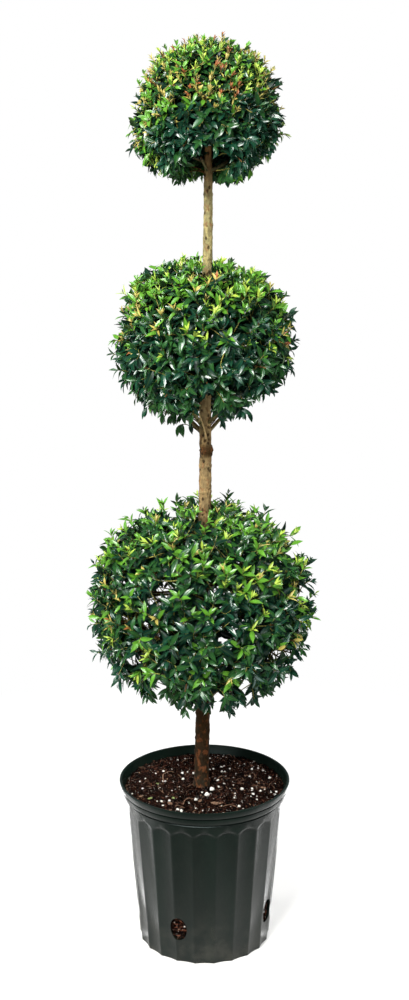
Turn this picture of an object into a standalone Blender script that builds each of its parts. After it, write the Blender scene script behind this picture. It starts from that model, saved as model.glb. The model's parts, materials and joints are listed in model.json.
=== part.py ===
"""Triple ball topiary: one upright stem with three clipped balls of small evergreen leaves, in a
fluted nursery pot. Metres, +Z up, and the origin is the middle of the pot's flat underside."""

import math
import random

import bmesh
import bpy
from mathutils import Matrix, Vector

# Clearance between neighbouring pieces, and the distance under which doubled corners become one
GAP = 0.0003
WELD = 0.00001

# Pot: the rim's width is the driving size, and a nursery pot of this kind is 12 inches across
RIM_RADIUS = 0.1525
POT_HEIGHT = 0.303
FOOT_RADIUS = 0.1174
WALL_SLOPE = 0.084
LIP_HEIGHT = 0.0235
LIP_WAIST = 0.0115
LIP_WAIST_RADIUS = 0.1490
LIP_FOOT_RADIUS = 0.1468
LIP_EDGE = 0.0015
LIP_WIDTH = 0.0055
FLUTE_COUNT = 22
FLUTE_DEPTH = 0.0030
FLUTE_TOP = 0.262
FLUTE_ARCH = 0.010
FLUTE_LEDGE = 0.0035
FLUTE_SIDES = 4
WALL = 0.0022
FLOOR = 0.0030
DRAIN_COUNT = 4
DRAIN_FIRST_DEG = -22.5
DRAIN_HEIGHT = 0.065
DRAIN_WIDTH = 0.031
DRAIN_TALL = 0.044
DRAIN_SIDES = 16
DRAIN_RUN = 0.03

# Potting mix
MIX_AT_WALL = 0.2885
MIX_AT_STEM = 0.290
MIX_FLAT_RADIUS = 0.026
MIX_MOUND_POWER = 0.8
MIX_CLEARANCE = 0.0006
MIX_SIDES = 36
MIX_LUMP = 0.0016
MIX_SEED = 5
# The rings of the mix's lumpy top, as shares of the wall's radius
MIX_RINGS = (0.45, 0.72, 0.92)

# Trunk, from its flat cut on the mix to its tip inside the top ball
STEM_FOOT = MIX_AT_STEM + GAP
STEM_TIP = 1.505
STEM_RADIUS = 0.0128
STEM_TAPER_LENGTH = 1.90
STEM_TAPER_POWER = 1.4
STEM_END_LENGTH = 0.16
STEM_END_SHARE = 0.50
STEM_STEP = 0.046
STEM_ROUNDNESS = 4
STEM_OFFSET = -0.0055
STEM_LEAN = 0.0105
STEM_BEND = 0.0011
STEM_BEND_LENGTH = 0.43
STEM_BEND_ONSET = 0.1
STEM_SIDE_RATE = 0.8
STEM_UPRIGHT = 0.01
FLARE_RISE = 0.0030
FLARE_HEIGHT = 0.010
SCAR_HEIGHT = 0.902
SCAR_RISE = 0.0026
SCAR_HALF = 0.0065
# Rings of the stem above its foot, in metres, and across the scar, as shares of its half height
FOOT_RINGS = (0, 0.006, 0.018)
SCAR_RINGS = (-1.6, -0.8, 0, 0.8, 1.6)

# Balls of foliage: the height of each centre, the radius out to the leaf tips and the length of a
# leaf; then how many shoots and boughs a ball has, where its boughs start below the centre as a
# share of the radius, and how far round they are turned
BALLS = {
    "top": {
        "height": 1.4585,
        "radius": 0.131,
        "leaf": 0.033,
        "shoots": 40,
        "boughs": 4,
        "bough_start": -0.72,
        "bough_turn": math.radians(-15),
        "seed": 11,
    },
    "middle": {
        "height": 1.089,
        "radius": 0.158,
        "leaf": 0.037,
        "shoots": 54,
        "boughs": 5,
        "bough_start": -1.02,
        "bough_turn": math.radians(170),
        "seed": 23,
    },
    "bottom": {
        "height": 0.624,
        "radius": 0.201,
        "leaf": 0.043,
        "shoots": 70,
        "boughs": 5,
        "bough_start": -0.90,
        "bough_turn": math.radians(35),
        "seed": 37,
    },
}
SQUARENESS = 2.25
SQUARENESS_BELOW = 0.35
LOBE_COUNT = 3
LOBE_RISE = 0.018
CORE_SHARE = 0.805
CORE_LUMP = 0.06
CAVITY_TOP = 0.42
CAVITY_TOP_RADIUS = 0.16
CAVITY_MOUTH = 0.75
CAVITY_SIDES = 12
OPEN_UNDERSIDE = 0.86
STRAY_EVERY = 9
STRAY_REACH = 1.05
SHORTEST_REACH = 0.95
HEADING_LIFT = 0.25
HEADING_LEVEL = 0.4
SHOOT_STRAY = 0.12
GOLDEN_ANGLE = math.pi * (3 - math.sqrt(5))

# Shoots and leaves
TWIG_RADIUS = 0.0025
TWIG_TIP_SHARE = 0.9
TWIG_SIDES = 3
TWIG_ROOT_SHARE = 0.66
LEAF_HALF_WIDTH = 0.25
LEAF_WIDEST = 0.42
LEAF_THICKNESS_SHARE = 0.05
LEAF_FOLD = 0.05
LEAF_CURL = 0.10
LEAF_ROOT = 0.0015
LEAF_STRAY = 0.30
LEAF_STAGGER = 0.03
LEAF_HANG = 0.45
LIMB_CLEARANCE = 0.0035
# Place along the shoot, and how far the pair opens from it
LEAF_PAIRS = ((0.82, math.radians(58)), (0.95, math.radians(34)))

# Boughs, as shares of their ball's radius
BOUGH_START_STEP = 0.055
BOUGH_END = -0.36
BOUGH_REACH = 0.50
BOUGH_SAG = 0.07
BOUGH_POINTS = 5
BOUGH_ROUNDNESS = 1
# A bough's radius as a share of the stem's, and what each next one loses of that
BOUGH_RADIUS_SHARE = 0.42
BOUGH_RADIUS_STEP = 0.035
BOUGH_TIP_SHARE = 0.70


def clear_scene():
    """Removes what a new file starts with."""
    for old in list(bpy.data.objects):
        bpy.data.objects.remove(old)


def make_collection(name):
    """A new collection, linked to the scene."""
    made = bpy.data.collections.new(name)
    bpy.context.scene.collection.children.link(made)
    return made


def make_material(name, colour, roughness):
    """A plain material that isn't a metal."""
    made = bpy.data.materials.new(name)
    made.use_nodes = True
    shader = made.node_tree.nodes["Principled BSDF"]
    shader.inputs["Base Color"].default_value = (*colour, 1)
    shader.inputs["Roughness"].default_value = roughness
    shader.inputs["Metallic"].default_value = 0
    return made


def add_object(name, mesh, home, material=None):
    """An object that shows the mesh, in its collection."""
    made = bpy.data.objects.new(name, mesh)
    home.objects.link(made)
    if material:
        mesh.materials.clear()
        mesh.materials.append(material)
    return made


def evaluated_mesh(obj):
    """A new mesh of the object as its modifiers leave it."""
    bpy.context.view_layer.update()
    return bpy.data.meshes.new_from_object(
        obj.evaluated_get(bpy.context.evaluated_depsgraph_get())
    )


def apply_modifiers(obj):
    """Makes the object's modifiers part of its mesh."""
    made = evaluated_mesh(obj)
    obj.modifiers.clear()
    old = obj.data
    obj.data = made
    bpy.data.meshes.remove(old)


def cut(obj, cutter):
    """Takes the cutter's shape out of the object."""
    step = obj.modifiers.new("cut", "BOOLEAN")
    step.operation = "DIFFERENCE"
    step.object = cutter
    apply_modifiers(obj)


def largest_body(mesh):
    """Drops the loose scraps that a Boolean can leave beside the main body."""
    shape = bmesh.new()
    shape.from_mesh(mesh)
    left = set(shape.verts)
    bodies = []
    while left:
        body, edge = set(), {left.pop()}
        while edge:
            body |= edge
            edge = {e.other_vert(v) for v in edge for e in v.link_edges} - body
        left -= body
        bodies.append(body)
    keep = max(bodies, key=len)
    bmesh.ops.delete(shape, geom=[v for v in shape.verts if v not in keep], context="VERTS")
    shape.to_mesh(mesh)
    shape.free()


def loft(name, rings):
    """A closed skin over rings that have the same number of points, with a flat cap at each end."""
    shape = bmesh.new()
    rows = [[shape.verts.new(point) for point in ring] for ring in rings]
    for lower, upper in zip(rows, rows[1:]):
        for i in range(len(lower)):
            shape.faces.new((lower[i - 1], lower[i], upper[i], upper[i - 1]))
    shape.faces.new(reversed(rows[0]))
    shape.faces.new(rows[-1])
    mesh = bpy.data.meshes.new(name)
    shape.to_mesh(mesh)
    shape.free()
    return mesh


def limb(name, points, radii, bevel_resolution):
    """A tapering limb as a closed mesh, from a curve through the points."""
    curve = bpy.data.curves.new(name, "CURVE")
    curve.dimensions = "3D"
    curve.bevel_depth = 1
    curve.bevel_resolution = bevel_resolution
    curve.use_fill_caps = True
    line = curve.splines.new("POLY")
    line.points.add(len(points) - 1)
    for spot, point, radius in zip(line.points, points, radii):
        spot.co = (*point, 1)
        spot.radius = radius
    holder = bpy.data.objects.new(name, curve)
    bpy.context.scene.collection.objects.link(holder)
    mesh = evaluated_mesh(holder)
    bpy.data.objects.remove(holder)
    shape = bmesh.new()
    shape.from_mesh(mesh)
    bmesh.ops.remove_doubles(shape, verts=shape.verts, dist=WELD)
    bmesh.ops.recalc_face_normals(shape, faces=shape.faces)
    shape.to_mesh(mesh)
    shape.free()
    return mesh


def around(angle, radius, height):
    """The point at an angle round the pot's axis, counted from its front."""
    return Vector((radius * math.sin(angle), -radius * math.cos(angle), height))


def wall_radius(height):
    """The outer radius of the pot's wall on the ridges between its flutes."""
    return FOOT_RADIUS + WALL_SLOPE * height


def inner_radius(height):
    """The radius of the pot's plain inside."""
    return wall_radius(height) - FLUTE_DEPTH - WALL


def flute_depth(height, across):
    """How far a hollow flute lies inside the wall, from -1 to 1 across it. Its top is an arch."""
    arch = FLUTE_TOP - FLUTE_ARCH * across**2
    share = max(0.0, min(1.0, (arch - height) / FLUTE_LEDGE))
    return FLUTE_DEPTH * (1 - across**2) * share


def pot_ring(height, radius):
    """A level ring of the pot's skin. It has the same corners at every height, fluted or round."""
    turn = 2 * math.pi / FLUTE_COUNT
    ring = []
    for i in range(FLUTE_COUNT * FLUTE_SIDES):
        across = 2 * (i % FLUTE_SIDES) / FLUTE_SIDES - 1
        angle = turn * (i // FLUTE_SIDES + across / 2)
        ring.append(around(angle, radius - flute_depth(height, across), height))
    return ring


def plain_ring(height, radius):
    """A level ring with no flutes, for the inside of the pot."""
    count = FLUTE_COUNT * FLUTE_SIDES
    first = -math.pi / FLUTE_COUNT
    return [around(first + 2 * math.pi * i / count, radius, height) for i in range(count)]


def drain_cutters(home):
    """Upright ovals that run through the wall towards the pot's axis."""
    shape = bmesh.new()
    bmesh.ops.create_cone(
        shape, segments=DRAIN_SIDES, radius1=0.5, radius2=0.5, depth=1, cap_ends=True
    )
    mesh = bpy.data.meshes.new("drain")
    shape.to_mesh(mesh)
    shape.free()
    made = []
    for i in range(DRAIN_COUNT):
        angle = math.radians(DRAIN_FIRST_DEG) + i * 2 * math.pi / DRAIN_COUNT
        hole = add_object(f"drain_cutter_{i + 1}", mesh, home)
        hole.matrix_world = (
            Matrix.Translation(around(angle, wall_radius(DRAIN_HEIGHT), DRAIN_HEIGHT))
            @ Matrix.Rotation(angle, 4, "Z")
            @ Matrix.Rotation(math.pi / 2, 4, "X")
            @ Matrix.Diagonal((DRAIN_WIDTH, DRAIN_TALL, DRAIN_RUN, 1))
        )
        hole.hide_render = True
        hole.display_type = "WIRE"
        made.append(hole)
    return made


def make_pot(home, cutters, material):
    """A fluted wall under a rolled lip, then down the plain inside to the floor."""
    lip_foot = POT_HEIGHT - LIP_HEIGHT
    waist = POT_HEIGHT - LIP_WAIST
    ledge_foot = FLUTE_TOP - FLUTE_LEDGE
    levels = [0, LIP_EDGE, ledge_foot - FLUTE_ARCH / 4, ledge_foot, FLUTE_TOP]
    rings = [pot_ring(height, wall_radius(height)) for height in levels]
    for point in rings[0]:
        point.xy *= 1 - LIP_EDGE / FOOT_RADIUS
    rings += [
        plain_ring(lip_foot + LIP_EDGE, wall_radius(lip_foot)),
        plain_ring(lip_foot, LIP_FOOT_RADIUS),
        plain_ring(waist, LIP_WAIST_RADIUS),
        plain_ring(POT_HEIGHT - LIP_EDGE, RIM_RADIUS),
        plain_ring(POT_HEIGHT, RIM_RADIUS - LIP_EDGE),
        plain_ring(POT_HEIGHT, RIM_RADIUS - LIP_WIDTH),
        plain_ring(waist, LIP_WAIST_RADIUS - LIP_WIDTH),
        plain_ring(lip_foot, inner_radius(lip_foot)),
        plain_ring(FLOOR, inner_radius(FLOOR)),
    ]
    pot = add_object("pot", loft("pot", rings), home, material)
    for hole in drain_cutters(cutters):
        cut(pot, hole)


def lip_inside(height):
    """The radius inside the lower half of the lip, which flares out above the wall."""
    low, high = POT_HEIGHT - LIP_HEIGHT, POT_HEIGHT - LIP_WAIST
    share = (height - low) / (high - low)
    return inner_radius(low) + (LIP_WAIST_RADIUS - LIP_WIDTH - inner_radius(low)) * share


def mix_surface(radius):
    """The height of the mix: flat round the stem, then a low mound that falls to the lip."""
    wall = lip_inside(MIX_AT_WALL)
    share = max(0.0, (radius - MIX_FLAT_RADIUS) / (wall - MIX_FLAT_RADIUS))
    return MIX_AT_STEM + (MIX_AT_WALL - MIX_AT_STEM) * share**MIX_MOUND_POWER


def make_mix(home, material):
    """A plug turned to fill the pot. Its top has low lumps, and it is flat under the stem."""
    wall = lip_inside(MIX_AT_WALL) - MIX_CLEARANCE
    radii = [MIX_FLAT_RADIUS / 2, MIX_FLAT_RADIUS] + [wall * share for share in MIX_RINGS]
    lip_foot, foot = POT_HEIGHT - LIP_HEIGHT, FLOOR + GAP
    profile = [(0, MIX_AT_STEM)]
    profile += [(radius, mix_surface(radius)) for radius in radii]
    profile += [(wall, MIX_AT_WALL), (inner_radius(lip_foot) - MIX_CLEARANCE, lip_foot)]
    profile += [(inner_radius(FLOOR) - MIX_CLEARANCE, foot), (0, foot)]
    mesh = bpy.data.meshes.new("potting_mix")
    edges = [(i, i + 1) for i in range(len(profile) - 1)]
    mesh.from_pydata([(radius, 0, height) for radius, height in profile], edges, [])
    mix = add_object("potting_mix", mesh, home)
    turn = mix.modifiers.new("turn", "SCREW")
    turn.steps = turn.render_steps = MIX_SIDES
    turn.use_merge_vertices = True
    turn.merge_threshold = WELD
    apply_modifiers(mix)
    chance = random.Random(MIX_SEED)
    inside = (radii[1] + radii[2]) / 2, (radii[-1] + wall) / 2
    for vertex in mix.data.vertices:
        if vertex.co.z > MIX_AT_WALL and inside[0] < vertex.co.xy.length < inside[1]:
            vertex.co.z += chance.uniform(-MIX_LUMP, MIX_LUMP)
    mix.data.materials.append(material)


def stem_centre(height):
    """The stem leans a little and bends gently, but stands upright where it meets the mix."""
    risen = max(0.0, height - STEM_FOOT - STEM_UPRIGHT)
    turn = 2 * math.pi * risen / STEM_BEND_LENGTH
    bend = STEM_BEND * min(1.0, risen / STEM_BEND_ONSET)
    return Vector((
        STEM_OFFSET + STEM_LEAN * risen + bend * math.sin(turn),
        bend * math.cos(turn * STEM_SIDE_RATE) - STEM_BEND,
        height,
    ))


def stem_radius(height):
    """Even taper, quicker inside the top ball, with a flare at the foot and the swollen scar
    under the middle ball."""
    risen = height - STEM_FOOT
    radius = STEM_RADIUS * (1 - (risen / STEM_TAPER_LENGTH) ** STEM_TAPER_POWER)
    last = max(0.0, 1 - (STEM_TIP - height) / STEM_END_LENGTH)
    radius *= 1 - (1 - STEM_END_SHARE) * last
    radius += FLARE_RISE * math.exp(-risen / FLARE_HEIGHT)
    away = (height - SCAR_HEIGHT) / SCAR_HALF
    return radius + SCAR_RISE * math.exp(-(away**4))


def stem_mesh(name, grow):
    """The stem with its radius grown by a clearance. A grown one is also longer at both ends."""
    heights = [STEM_FOOT + rise for rise in FOOT_RINGS]
    low = heights[-1]
    steps = round((STEM_TIP - low) / STEM_STEP)
    even = [low + (STEM_TIP - low) * i / steps for i in range(1, steps + 1)]
    heights += [height for height in even if abs(height - SCAR_HEIGHT) > 2 * SCAR_HALF]
    heights += [SCAR_HEIGHT + SCAR_HALF * share for share in SCAR_RINGS]
    heights.sort()
    points = [stem_centre(height) for height in heights]
    radii = [stem_radius(height) + grow for height in heights]
    points[1].xy = points[0].xy
    if grow:
        points[0].z -= grow
        points[-1].z += grow
    return limb(name, points, radii, STEM_ROUNDNESS)


def ball_centre(ball):
    """The middle of a ball, which the stem runs through."""
    return stem_centre(ball["height"])


def outline(ball, way):
    """How far the clipped face lies from the ball's centre: a sphere with squarer shoulders and
    three low lobes round its sides."""
    flat = math.hypot(way.x, way.y)
    square = (flat**SQUARENESS + abs(way.z) ** SQUARENESS) ** (-1 / SQUARENESS)
    upper = SQUARENESS_BELOW + (1 - SQUARENESS_BELOW) * max(0.0, way.z)
    lobes = math.sin(LOBE_COUNT * math.atan2(way.y, way.x) + ball["seed"])
    return ball["radius"] * (1 + (square - 1) * upper) * (1 + LOBE_RISE * lobes * flat)


def shoots(ball):
    """(root, tip, heading) of each shoot, spread evenly over the ball by the golden angle. The
    underside is left open round the stem."""
    chance = random.Random(ball["seed"])
    centre, count = ball_centre(ball), ball["shoots"]
    reach = math.cos(LEAF_PAIRS[-1][1]) * ball["leaf"]
    found = []
    for i in range(count):
        rise = 1 - 2 * (i + 0.5) / count + chance.uniform(-0.5, 0.5) / count
        azimuth = i * GOLDEN_ANGLE + chance.uniform(-SHOOT_STRAY, SHOOT_STRAY)
        length = chance.uniform(SHORTEST_REACH, 1)
        if i % STRAY_EVERY == STRAY_EVERY // 2:
            length = STRAY_REACH
        if rise < -OPEN_UNDERSIDE:
            continue
        flat = math.sqrt(1 - min(1, rise * rise))
        way = Vector((flat * math.cos(azimuth), flat * math.sin(azimuth), rise))
        heading = (way + Vector((0, 0, HEADING_LIFT * (rise + HEADING_LEVEL)))).normalized()
        tip = centre + way * (outline(ball, way) * length) - heading * reach
        root = centre + way * (ball["radius"] * CORE_SHARE * TWIG_ROOT_SHARE)
        found.append((root, tip, heading))
    return found


def leaves(ball, shoot, number):
    """(foot, direction, face) of each leaf: opposite pairs, each turned a quarter from the last.
    Leaves low on the ball hang."""
    root, tip, heading = shoot
    chance = random.Random(f"{ball['seed']} {number}")
    low = max(0.0, (ball_centre(ball).z - tip.z) / ball["radius"])
    side = heading.orthogonal().normalized()
    found = []
    for pair, (share, opening) in enumerate(LEAF_PAIRS):
        for hand in (0, 1):
            turn = math.pi / 2 * (pair + number % 2) + math.pi * hand
            turn += chance.uniform(-LEAF_STRAY, LEAF_STRAY)
            across = Matrix.Rotation(turn, 3, heading) @ side
            way = heading * math.cos(opening) + across * math.sin(opening)
            way = (way - Vector((0, 0, LEAF_HANG * low))).normalized()
            face = (heading - way * heading.dot(way)).normalized()
            foot = root.lerp(tip, share - LEAF_STAGGER * hand) - way * LEAF_ROOT
            found.append((foot, way, face))
    return found


def limb_paths(ball):
    """Points and radii of the ball's boughs, which rise from the stem in a spiral."""
    centre, size, count = ball_centre(ball), ball["radius"], ball["boughs"]
    found = []
    for i in range(count):
        azimuth = ball["bough_turn"] + i * 2 * math.pi / count
        start = stem_centre(centre.z + size * (ball["bough_start"] + BOUGH_START_STEP * (i % 3)))
        out = Vector((math.cos(azimuth), math.sin(azimuth), 0))
        end = centre + out * (size * BOUGH_REACH)
        end.z += size * BOUGH_END
        points = []
        for step in range(BOUGH_POINTS):
            share = step / (BOUGH_POINTS - 1)
            point = start.lerp(end, share)
            point += out * (size * BOUGH_SAG * math.sin(math.pi * share))
            points.append(point)
        thick = stem_radius(start.z) * (BOUGH_RADIUS_SHARE - BOUGH_RADIUS_STEP * i)
        radii = [
            thick * (1 - (1 - BOUGH_TIP_SHARE) * step / (BOUGH_POINTS - 1))
            for step in range(BOUGH_POINTS)
        ]
        found.append((points, radii))
    return found


def near_limb(point, paths):
    """True where a point lies on the stem or a bough, or closer than the clearance."""
    if STEM_FOOT < point.z < STEM_TIP + LIMB_CLEARANCE:
        axis = stem_centre(point.z)
        if (point - axis).length < stem_radius(min(point.z, STEM_TIP)) + LIMB_CLEARANCE:
            return True
    for points, radii in paths:
        for start, end in zip(points, points[1:]):
            along = end - start
            share = max(0, min(1, (point - start).dot(along) / along.length_squared))
            if (point - start - along * share).length < radii[0] + LIMB_CLEARANCE:
                return True
    return False


def leaf_mesh():
    """A leaf of six faces, one unit long: pointed at both ends, with a keel under its fold. Its
    solid is a three-sided double cone, whose first corner is the keel."""
    shape = bmesh.new()
    bmesh.ops.create_uvsphere(shape, u_segments=3, v_segments=2, radius=1)
    for vertex in shape.verts:
        side, keel, along = vertex.co
        length = (along + 1) / 2 if abs(along) > 0.5 else LEAF_WIDEST
        up = LEAF_FOLD * abs(side) - LEAF_THICKNESS_SHARE * keel - LEAF_CURL * length**2
        vertex.co = (side * LEAF_HALF_WIDTH, length, up)
    mesh = bpy.data.meshes.new("leaf")
    shape.to_mesh(mesh)
    shape.free()
    return mesh


def twig_mesh():
    """A three-sided twig, one unit long, from its root at the origin."""
    shape = bmesh.new()
    bmesh.ops.create_cone(
        shape,
        segments=TWIG_SIDES,
        radius1=1,
        radius2=TWIG_TIP_SHARE,
        depth=1,
        cap_ends=True,
    )
    bmesh.ops.translate(shape, verts=shape.verts, vec=(0, 0, 0.5))
    mesh = bpy.data.meshes.new("twig")
    shape.to_mesh(mesh)
    shape.free()
    return mesh


def twig_place(root, tip, radius):
    """The matrix that puts the unit twig between two points."""
    along = tip - root
    turn = along.to_track_quat("Z", "Y").to_matrix().to_4x4()
    return Matrix.Translation(root) @ turn @ Matrix.Diagonal((radius, radius, along.length, 1))


def leaf_place(foot, way, face, length):
    """The matrix that lays the unit leaf along a direction with its upper side to the face."""
    axes = Matrix((way.cross(face), way, face)).transposed().to_4x4()
    return Matrix.Translation(foot) @ axes @ Matrix.Scale(length, 4)


def core_mesh(ball, grow):
    """The dense middle of a clipped ball, with the hollow that the boughs rise through."""
    centre, chance = ball_centre(ball), random.Random(ball["seed"] + 1)
    shape = bmesh.new()
    bmesh.ops.create_icosphere(shape, subdivisions=3, radius=1)
    for vertex in shape.verts:
        way = vertex.co.normalized()
        share = CORE_SHARE + chance.uniform(-CORE_LUMP, CORE_LUMP)
        vertex.co = centre + way * (outline(ball, way) * share + grow)
    mesh = bpy.data.meshes.new("core")
    shape.to_mesh(mesh)
    shape.free()
    return mesh


def cavity_mesh(ball, grow):
    """A cone from inside the ball to below it, round the stem. Its wall moves in as it grows."""
    centre, size = ball_centre(ball), ball["radius"]
    top, foot = -CAVITY_TOP * size - grow, -size
    shape = bmesh.new()
    bmesh.ops.create_cone(
        shape,
        segments=CAVITY_SIDES,
        radius1=CAVITY_MOUTH * size - grow,
        radius2=CAVITY_TOP_RADIUS * size - grow,
        depth=top - foot,
        cap_ends=True,
    )
    bmesh.ops.translate(shape, verts=shape.verts, vec=centre + Vector((0, 0, (top + foot) / 2)))
    mesh = bpy.data.meshes.new("cavity")
    shape.to_mesh(mesh)
    shape.free()
    return mesh


def make_core(name, ball, home, grow):
    """The dense middle as an object, grown by a clearance."""
    core = add_object(name, core_mesh(ball, grow), home)
    cavity = add_object(name + "_cavity", cavity_mesh(ball, grow), home)
    cut(core, cavity)
    bpy.data.objects.remove(cavity)
    return core


def make_boughs(name, ball, home, tools, stem_space, material):
    """Each bough starts against the stem and ends against the core that it enters."""
    core_space = make_core("core_space", ball, tools, GAP)
    for i, (points, radii) in enumerate(limb_paths(ball)):
        mesh = limb("bough", points, radii, BOUGH_ROUNDNESS)
        bough = add_object(f"{name}_bough_{i + 1}", mesh, home, material)
        cut(bough, stem_space)
        cut(bough, core_space)
        largest_body(bough.data)
    bpy.data.objects.remove(core_space)


def make_foliage(name, ball, home, tools, stem_space, material):
    """One clipped ball: its core, the twigs that stand out of it and their leaves, as one solid."""
    mass = make_core(f"{name}_ball_foliage", ball, home, 0)
    cut(mass, stem_space)
    sprays = make_collection(f"{name}_sprays")
    twig, leaf = twig_mesh(), leaf_mesh()
    paths = limb_paths(ball)
    for number, shoot in enumerate(shoots(ball)):
        root, tip, _ = shoot
        if near_limb(root, paths) or near_limb(tip, paths):
            continue
        stick = add_object("twig", twig, sprays)
        stick.matrix_world = twig_place(root, tip, TWIG_RADIUS)
        for foot, way, face in leaves(ball, shoot, number):
            place = leaf_place(foot, way, face, ball["leaf"])
            if any(near_limb(place @ vertex.co, paths) for vertex in leaf.vertices):
                continue
            blade = add_object("leaf", leaf, sprays)
            blade.matrix_world = place
    fuse = mass.modifiers.new("fuse", "BOOLEAN")
    fuse.operation = "UNION"
    fuse.operand_type = "COLLECTION"
    fuse.collection = sprays
    fuse.solver = "MANIFOLD"
    apply_modifiers(mass)
    for piece in list(sprays.objects):
        bpy.data.objects.remove(piece)
    bpy.data.collections.remove(sprays)
    largest_body(mass.data)
    mass.data.materials.clear()
    mass.data.materials.append(material)


def main():
    """Builds the plant from the ground up."""
    clear_scene()
    home = make_collection("triple_ball_topiary")
    tools = make_collection("cutters")
    plastic = make_material("black_plastic", (0.018, 0.020, 0.020), 0.42)
    bark_mix = make_material("bark_mix", (0.060, 0.032, 0.022), 0.95)
    bark = make_material("bark", (0.230, 0.150, 0.085), 0.85)
    foliage = make_material("foliage", (0.045, 0.130, 0.030), 0.35)

    make_pot(home, tools, plastic)
    make_mix(home, bark_mix)
    stem = add_object("trunk", stem_mesh("trunk", 0), home, bark)
    stem.data.shade_smooth()
    stem_space = add_object("stem_space", stem_mesh("stem_space", GAP), tools)
    stem_space.hide_render = True
    stem_space.display_type = "WIRE"
    for name, ball in BALLS.items():
        make_boughs(name, ball, home, tools, stem_space, bark)
        make_foliage(name, ball, home, tools, stem_space, foliage)


main()
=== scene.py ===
"""Dresses a clipped three-ball topiary: its nursery pot, potting mix, bark, twigs and leaves.

The file is laid out as an add-on and run as a script. The shape rules repeat those of the part's
source, and the leaves and twigs carry them on to the size of the living ones.
"""

import json
import math
import random

import bmesh
import bpy
import numpy as np
from bpy.props import FloatProperty, FloatVectorProperty, IntProperty, PointerProperty
from bpy.types import Operator, Panel, PropertyGroup
from mathutils import Matrix, Vector, noise

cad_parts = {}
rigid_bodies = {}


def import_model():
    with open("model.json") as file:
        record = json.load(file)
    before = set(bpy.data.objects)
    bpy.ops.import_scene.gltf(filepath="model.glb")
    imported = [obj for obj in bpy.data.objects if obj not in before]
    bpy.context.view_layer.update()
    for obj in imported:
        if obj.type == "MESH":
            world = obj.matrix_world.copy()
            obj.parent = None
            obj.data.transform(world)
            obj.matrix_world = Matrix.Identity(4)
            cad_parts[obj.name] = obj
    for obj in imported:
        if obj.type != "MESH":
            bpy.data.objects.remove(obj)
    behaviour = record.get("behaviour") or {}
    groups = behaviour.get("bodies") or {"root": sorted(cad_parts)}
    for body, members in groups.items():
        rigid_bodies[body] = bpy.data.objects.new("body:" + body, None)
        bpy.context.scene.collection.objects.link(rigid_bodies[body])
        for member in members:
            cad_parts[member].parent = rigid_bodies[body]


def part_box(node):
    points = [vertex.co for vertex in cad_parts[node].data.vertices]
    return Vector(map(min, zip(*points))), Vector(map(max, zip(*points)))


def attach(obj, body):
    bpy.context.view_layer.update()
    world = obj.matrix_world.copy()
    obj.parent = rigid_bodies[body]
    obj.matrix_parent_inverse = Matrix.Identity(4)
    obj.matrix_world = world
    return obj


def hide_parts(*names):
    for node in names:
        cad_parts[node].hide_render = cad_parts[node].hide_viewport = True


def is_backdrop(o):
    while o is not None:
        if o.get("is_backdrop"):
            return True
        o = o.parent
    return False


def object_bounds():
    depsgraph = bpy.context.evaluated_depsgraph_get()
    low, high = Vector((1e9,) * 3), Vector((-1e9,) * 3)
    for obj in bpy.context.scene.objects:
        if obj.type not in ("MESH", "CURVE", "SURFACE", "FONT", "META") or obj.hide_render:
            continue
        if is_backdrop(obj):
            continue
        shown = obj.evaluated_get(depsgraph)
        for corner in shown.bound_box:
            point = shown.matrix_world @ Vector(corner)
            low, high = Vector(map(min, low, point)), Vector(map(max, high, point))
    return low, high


bl_info = {
    "name": "Three-ball topiary",
    "version": (1, 0, 0),
    "blender": (4, 5, 0),
    "location": "3D View > Sidebar > Topiary",
    "description": "Dresses a clipped three-ball topiary in its nursery pot",
    "category": "Object",
}

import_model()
CAD_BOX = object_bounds()
BODY = "root"

# Pot, as in the source
RIM_RADIUS = 0.1525
POT_HEIGHT = 0.303
FOOT_RADIUS = 0.1174
WALL_SLOPE = 0.084
LIP_HEIGHT = 0.0235
LIP_WAIST = 0.0115
LIP_WAIST_RADIUS = 0.1490
LIP_FOOT_RADIUS = 0.1468
LIP_EDGE = 0.0015
RIM_EDGE = 0.0026
LIP_WIDTH = 0.0055
LIP_STEP = 0.0006
LIP_GROOVE = 0.0036
BEAD_HEIGHT = 0.2735
BEAD_RISE = 0.0012
FLUTE_TOP = 0.262
FLUTE_ARCH = 0.010
FLUTE_LEDGE = 0.0035
FLUTE_SIDES = 14
WALL = 0.0022
FLOOR = 0.0030
WALL_LEVELS = (0.004, 0.05, 0.10, 0.15, 0.20, 0.235)
LEDGE_LEVELS = 12
DRAIN_FIRST = math.radians(-22.5)
DRAIN_CHIPS = 16
DRAIN_CUT = 0.03
CRISP_ANGLE = math.radians(37)
SAME_POINT = 1e-6
# Inside the lip the plastic mirrors less: the slope of that face, its radius at the lip's foot, and
# the heights between which the change falls
LIP_FACE_SLOPE = 0.45
LIP_FACE_FOOT = 0.1385
LIP_SHADE = (0.274, 0.277)

# Mix, as in the source
MIX_AT_WALL = 0.2885
MIX_AT_STEM = 0.290
MIX_FLAT_RADIUS = 0.026
MIX_MOUND_POWER = 0.8
MIX_CLEARANCE = 0.0006
MIX_RINGS = 46
MIX_SPOKES = 150
# How fine each part of the unevenness is, and its share
MIX_ROUGHNESS = ((75, 1.0), (190, 0.6), (420, 0.3))
# Chips by the drain holes: how wide and how thick they lie, and the slivers' spread and form
DRAIN_SHARE = 0.36
DRAIN_LOOSE = 1.4
SLIVER_SPREAD = (0.40, 0.42)
SLIVER_TILT = 0.5
SLIVER_LENGTH = (0.006, 0.015)
SLIVER_SECTION = (0.0022, 0.004)
LAID_LIFT = 0.2
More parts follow.
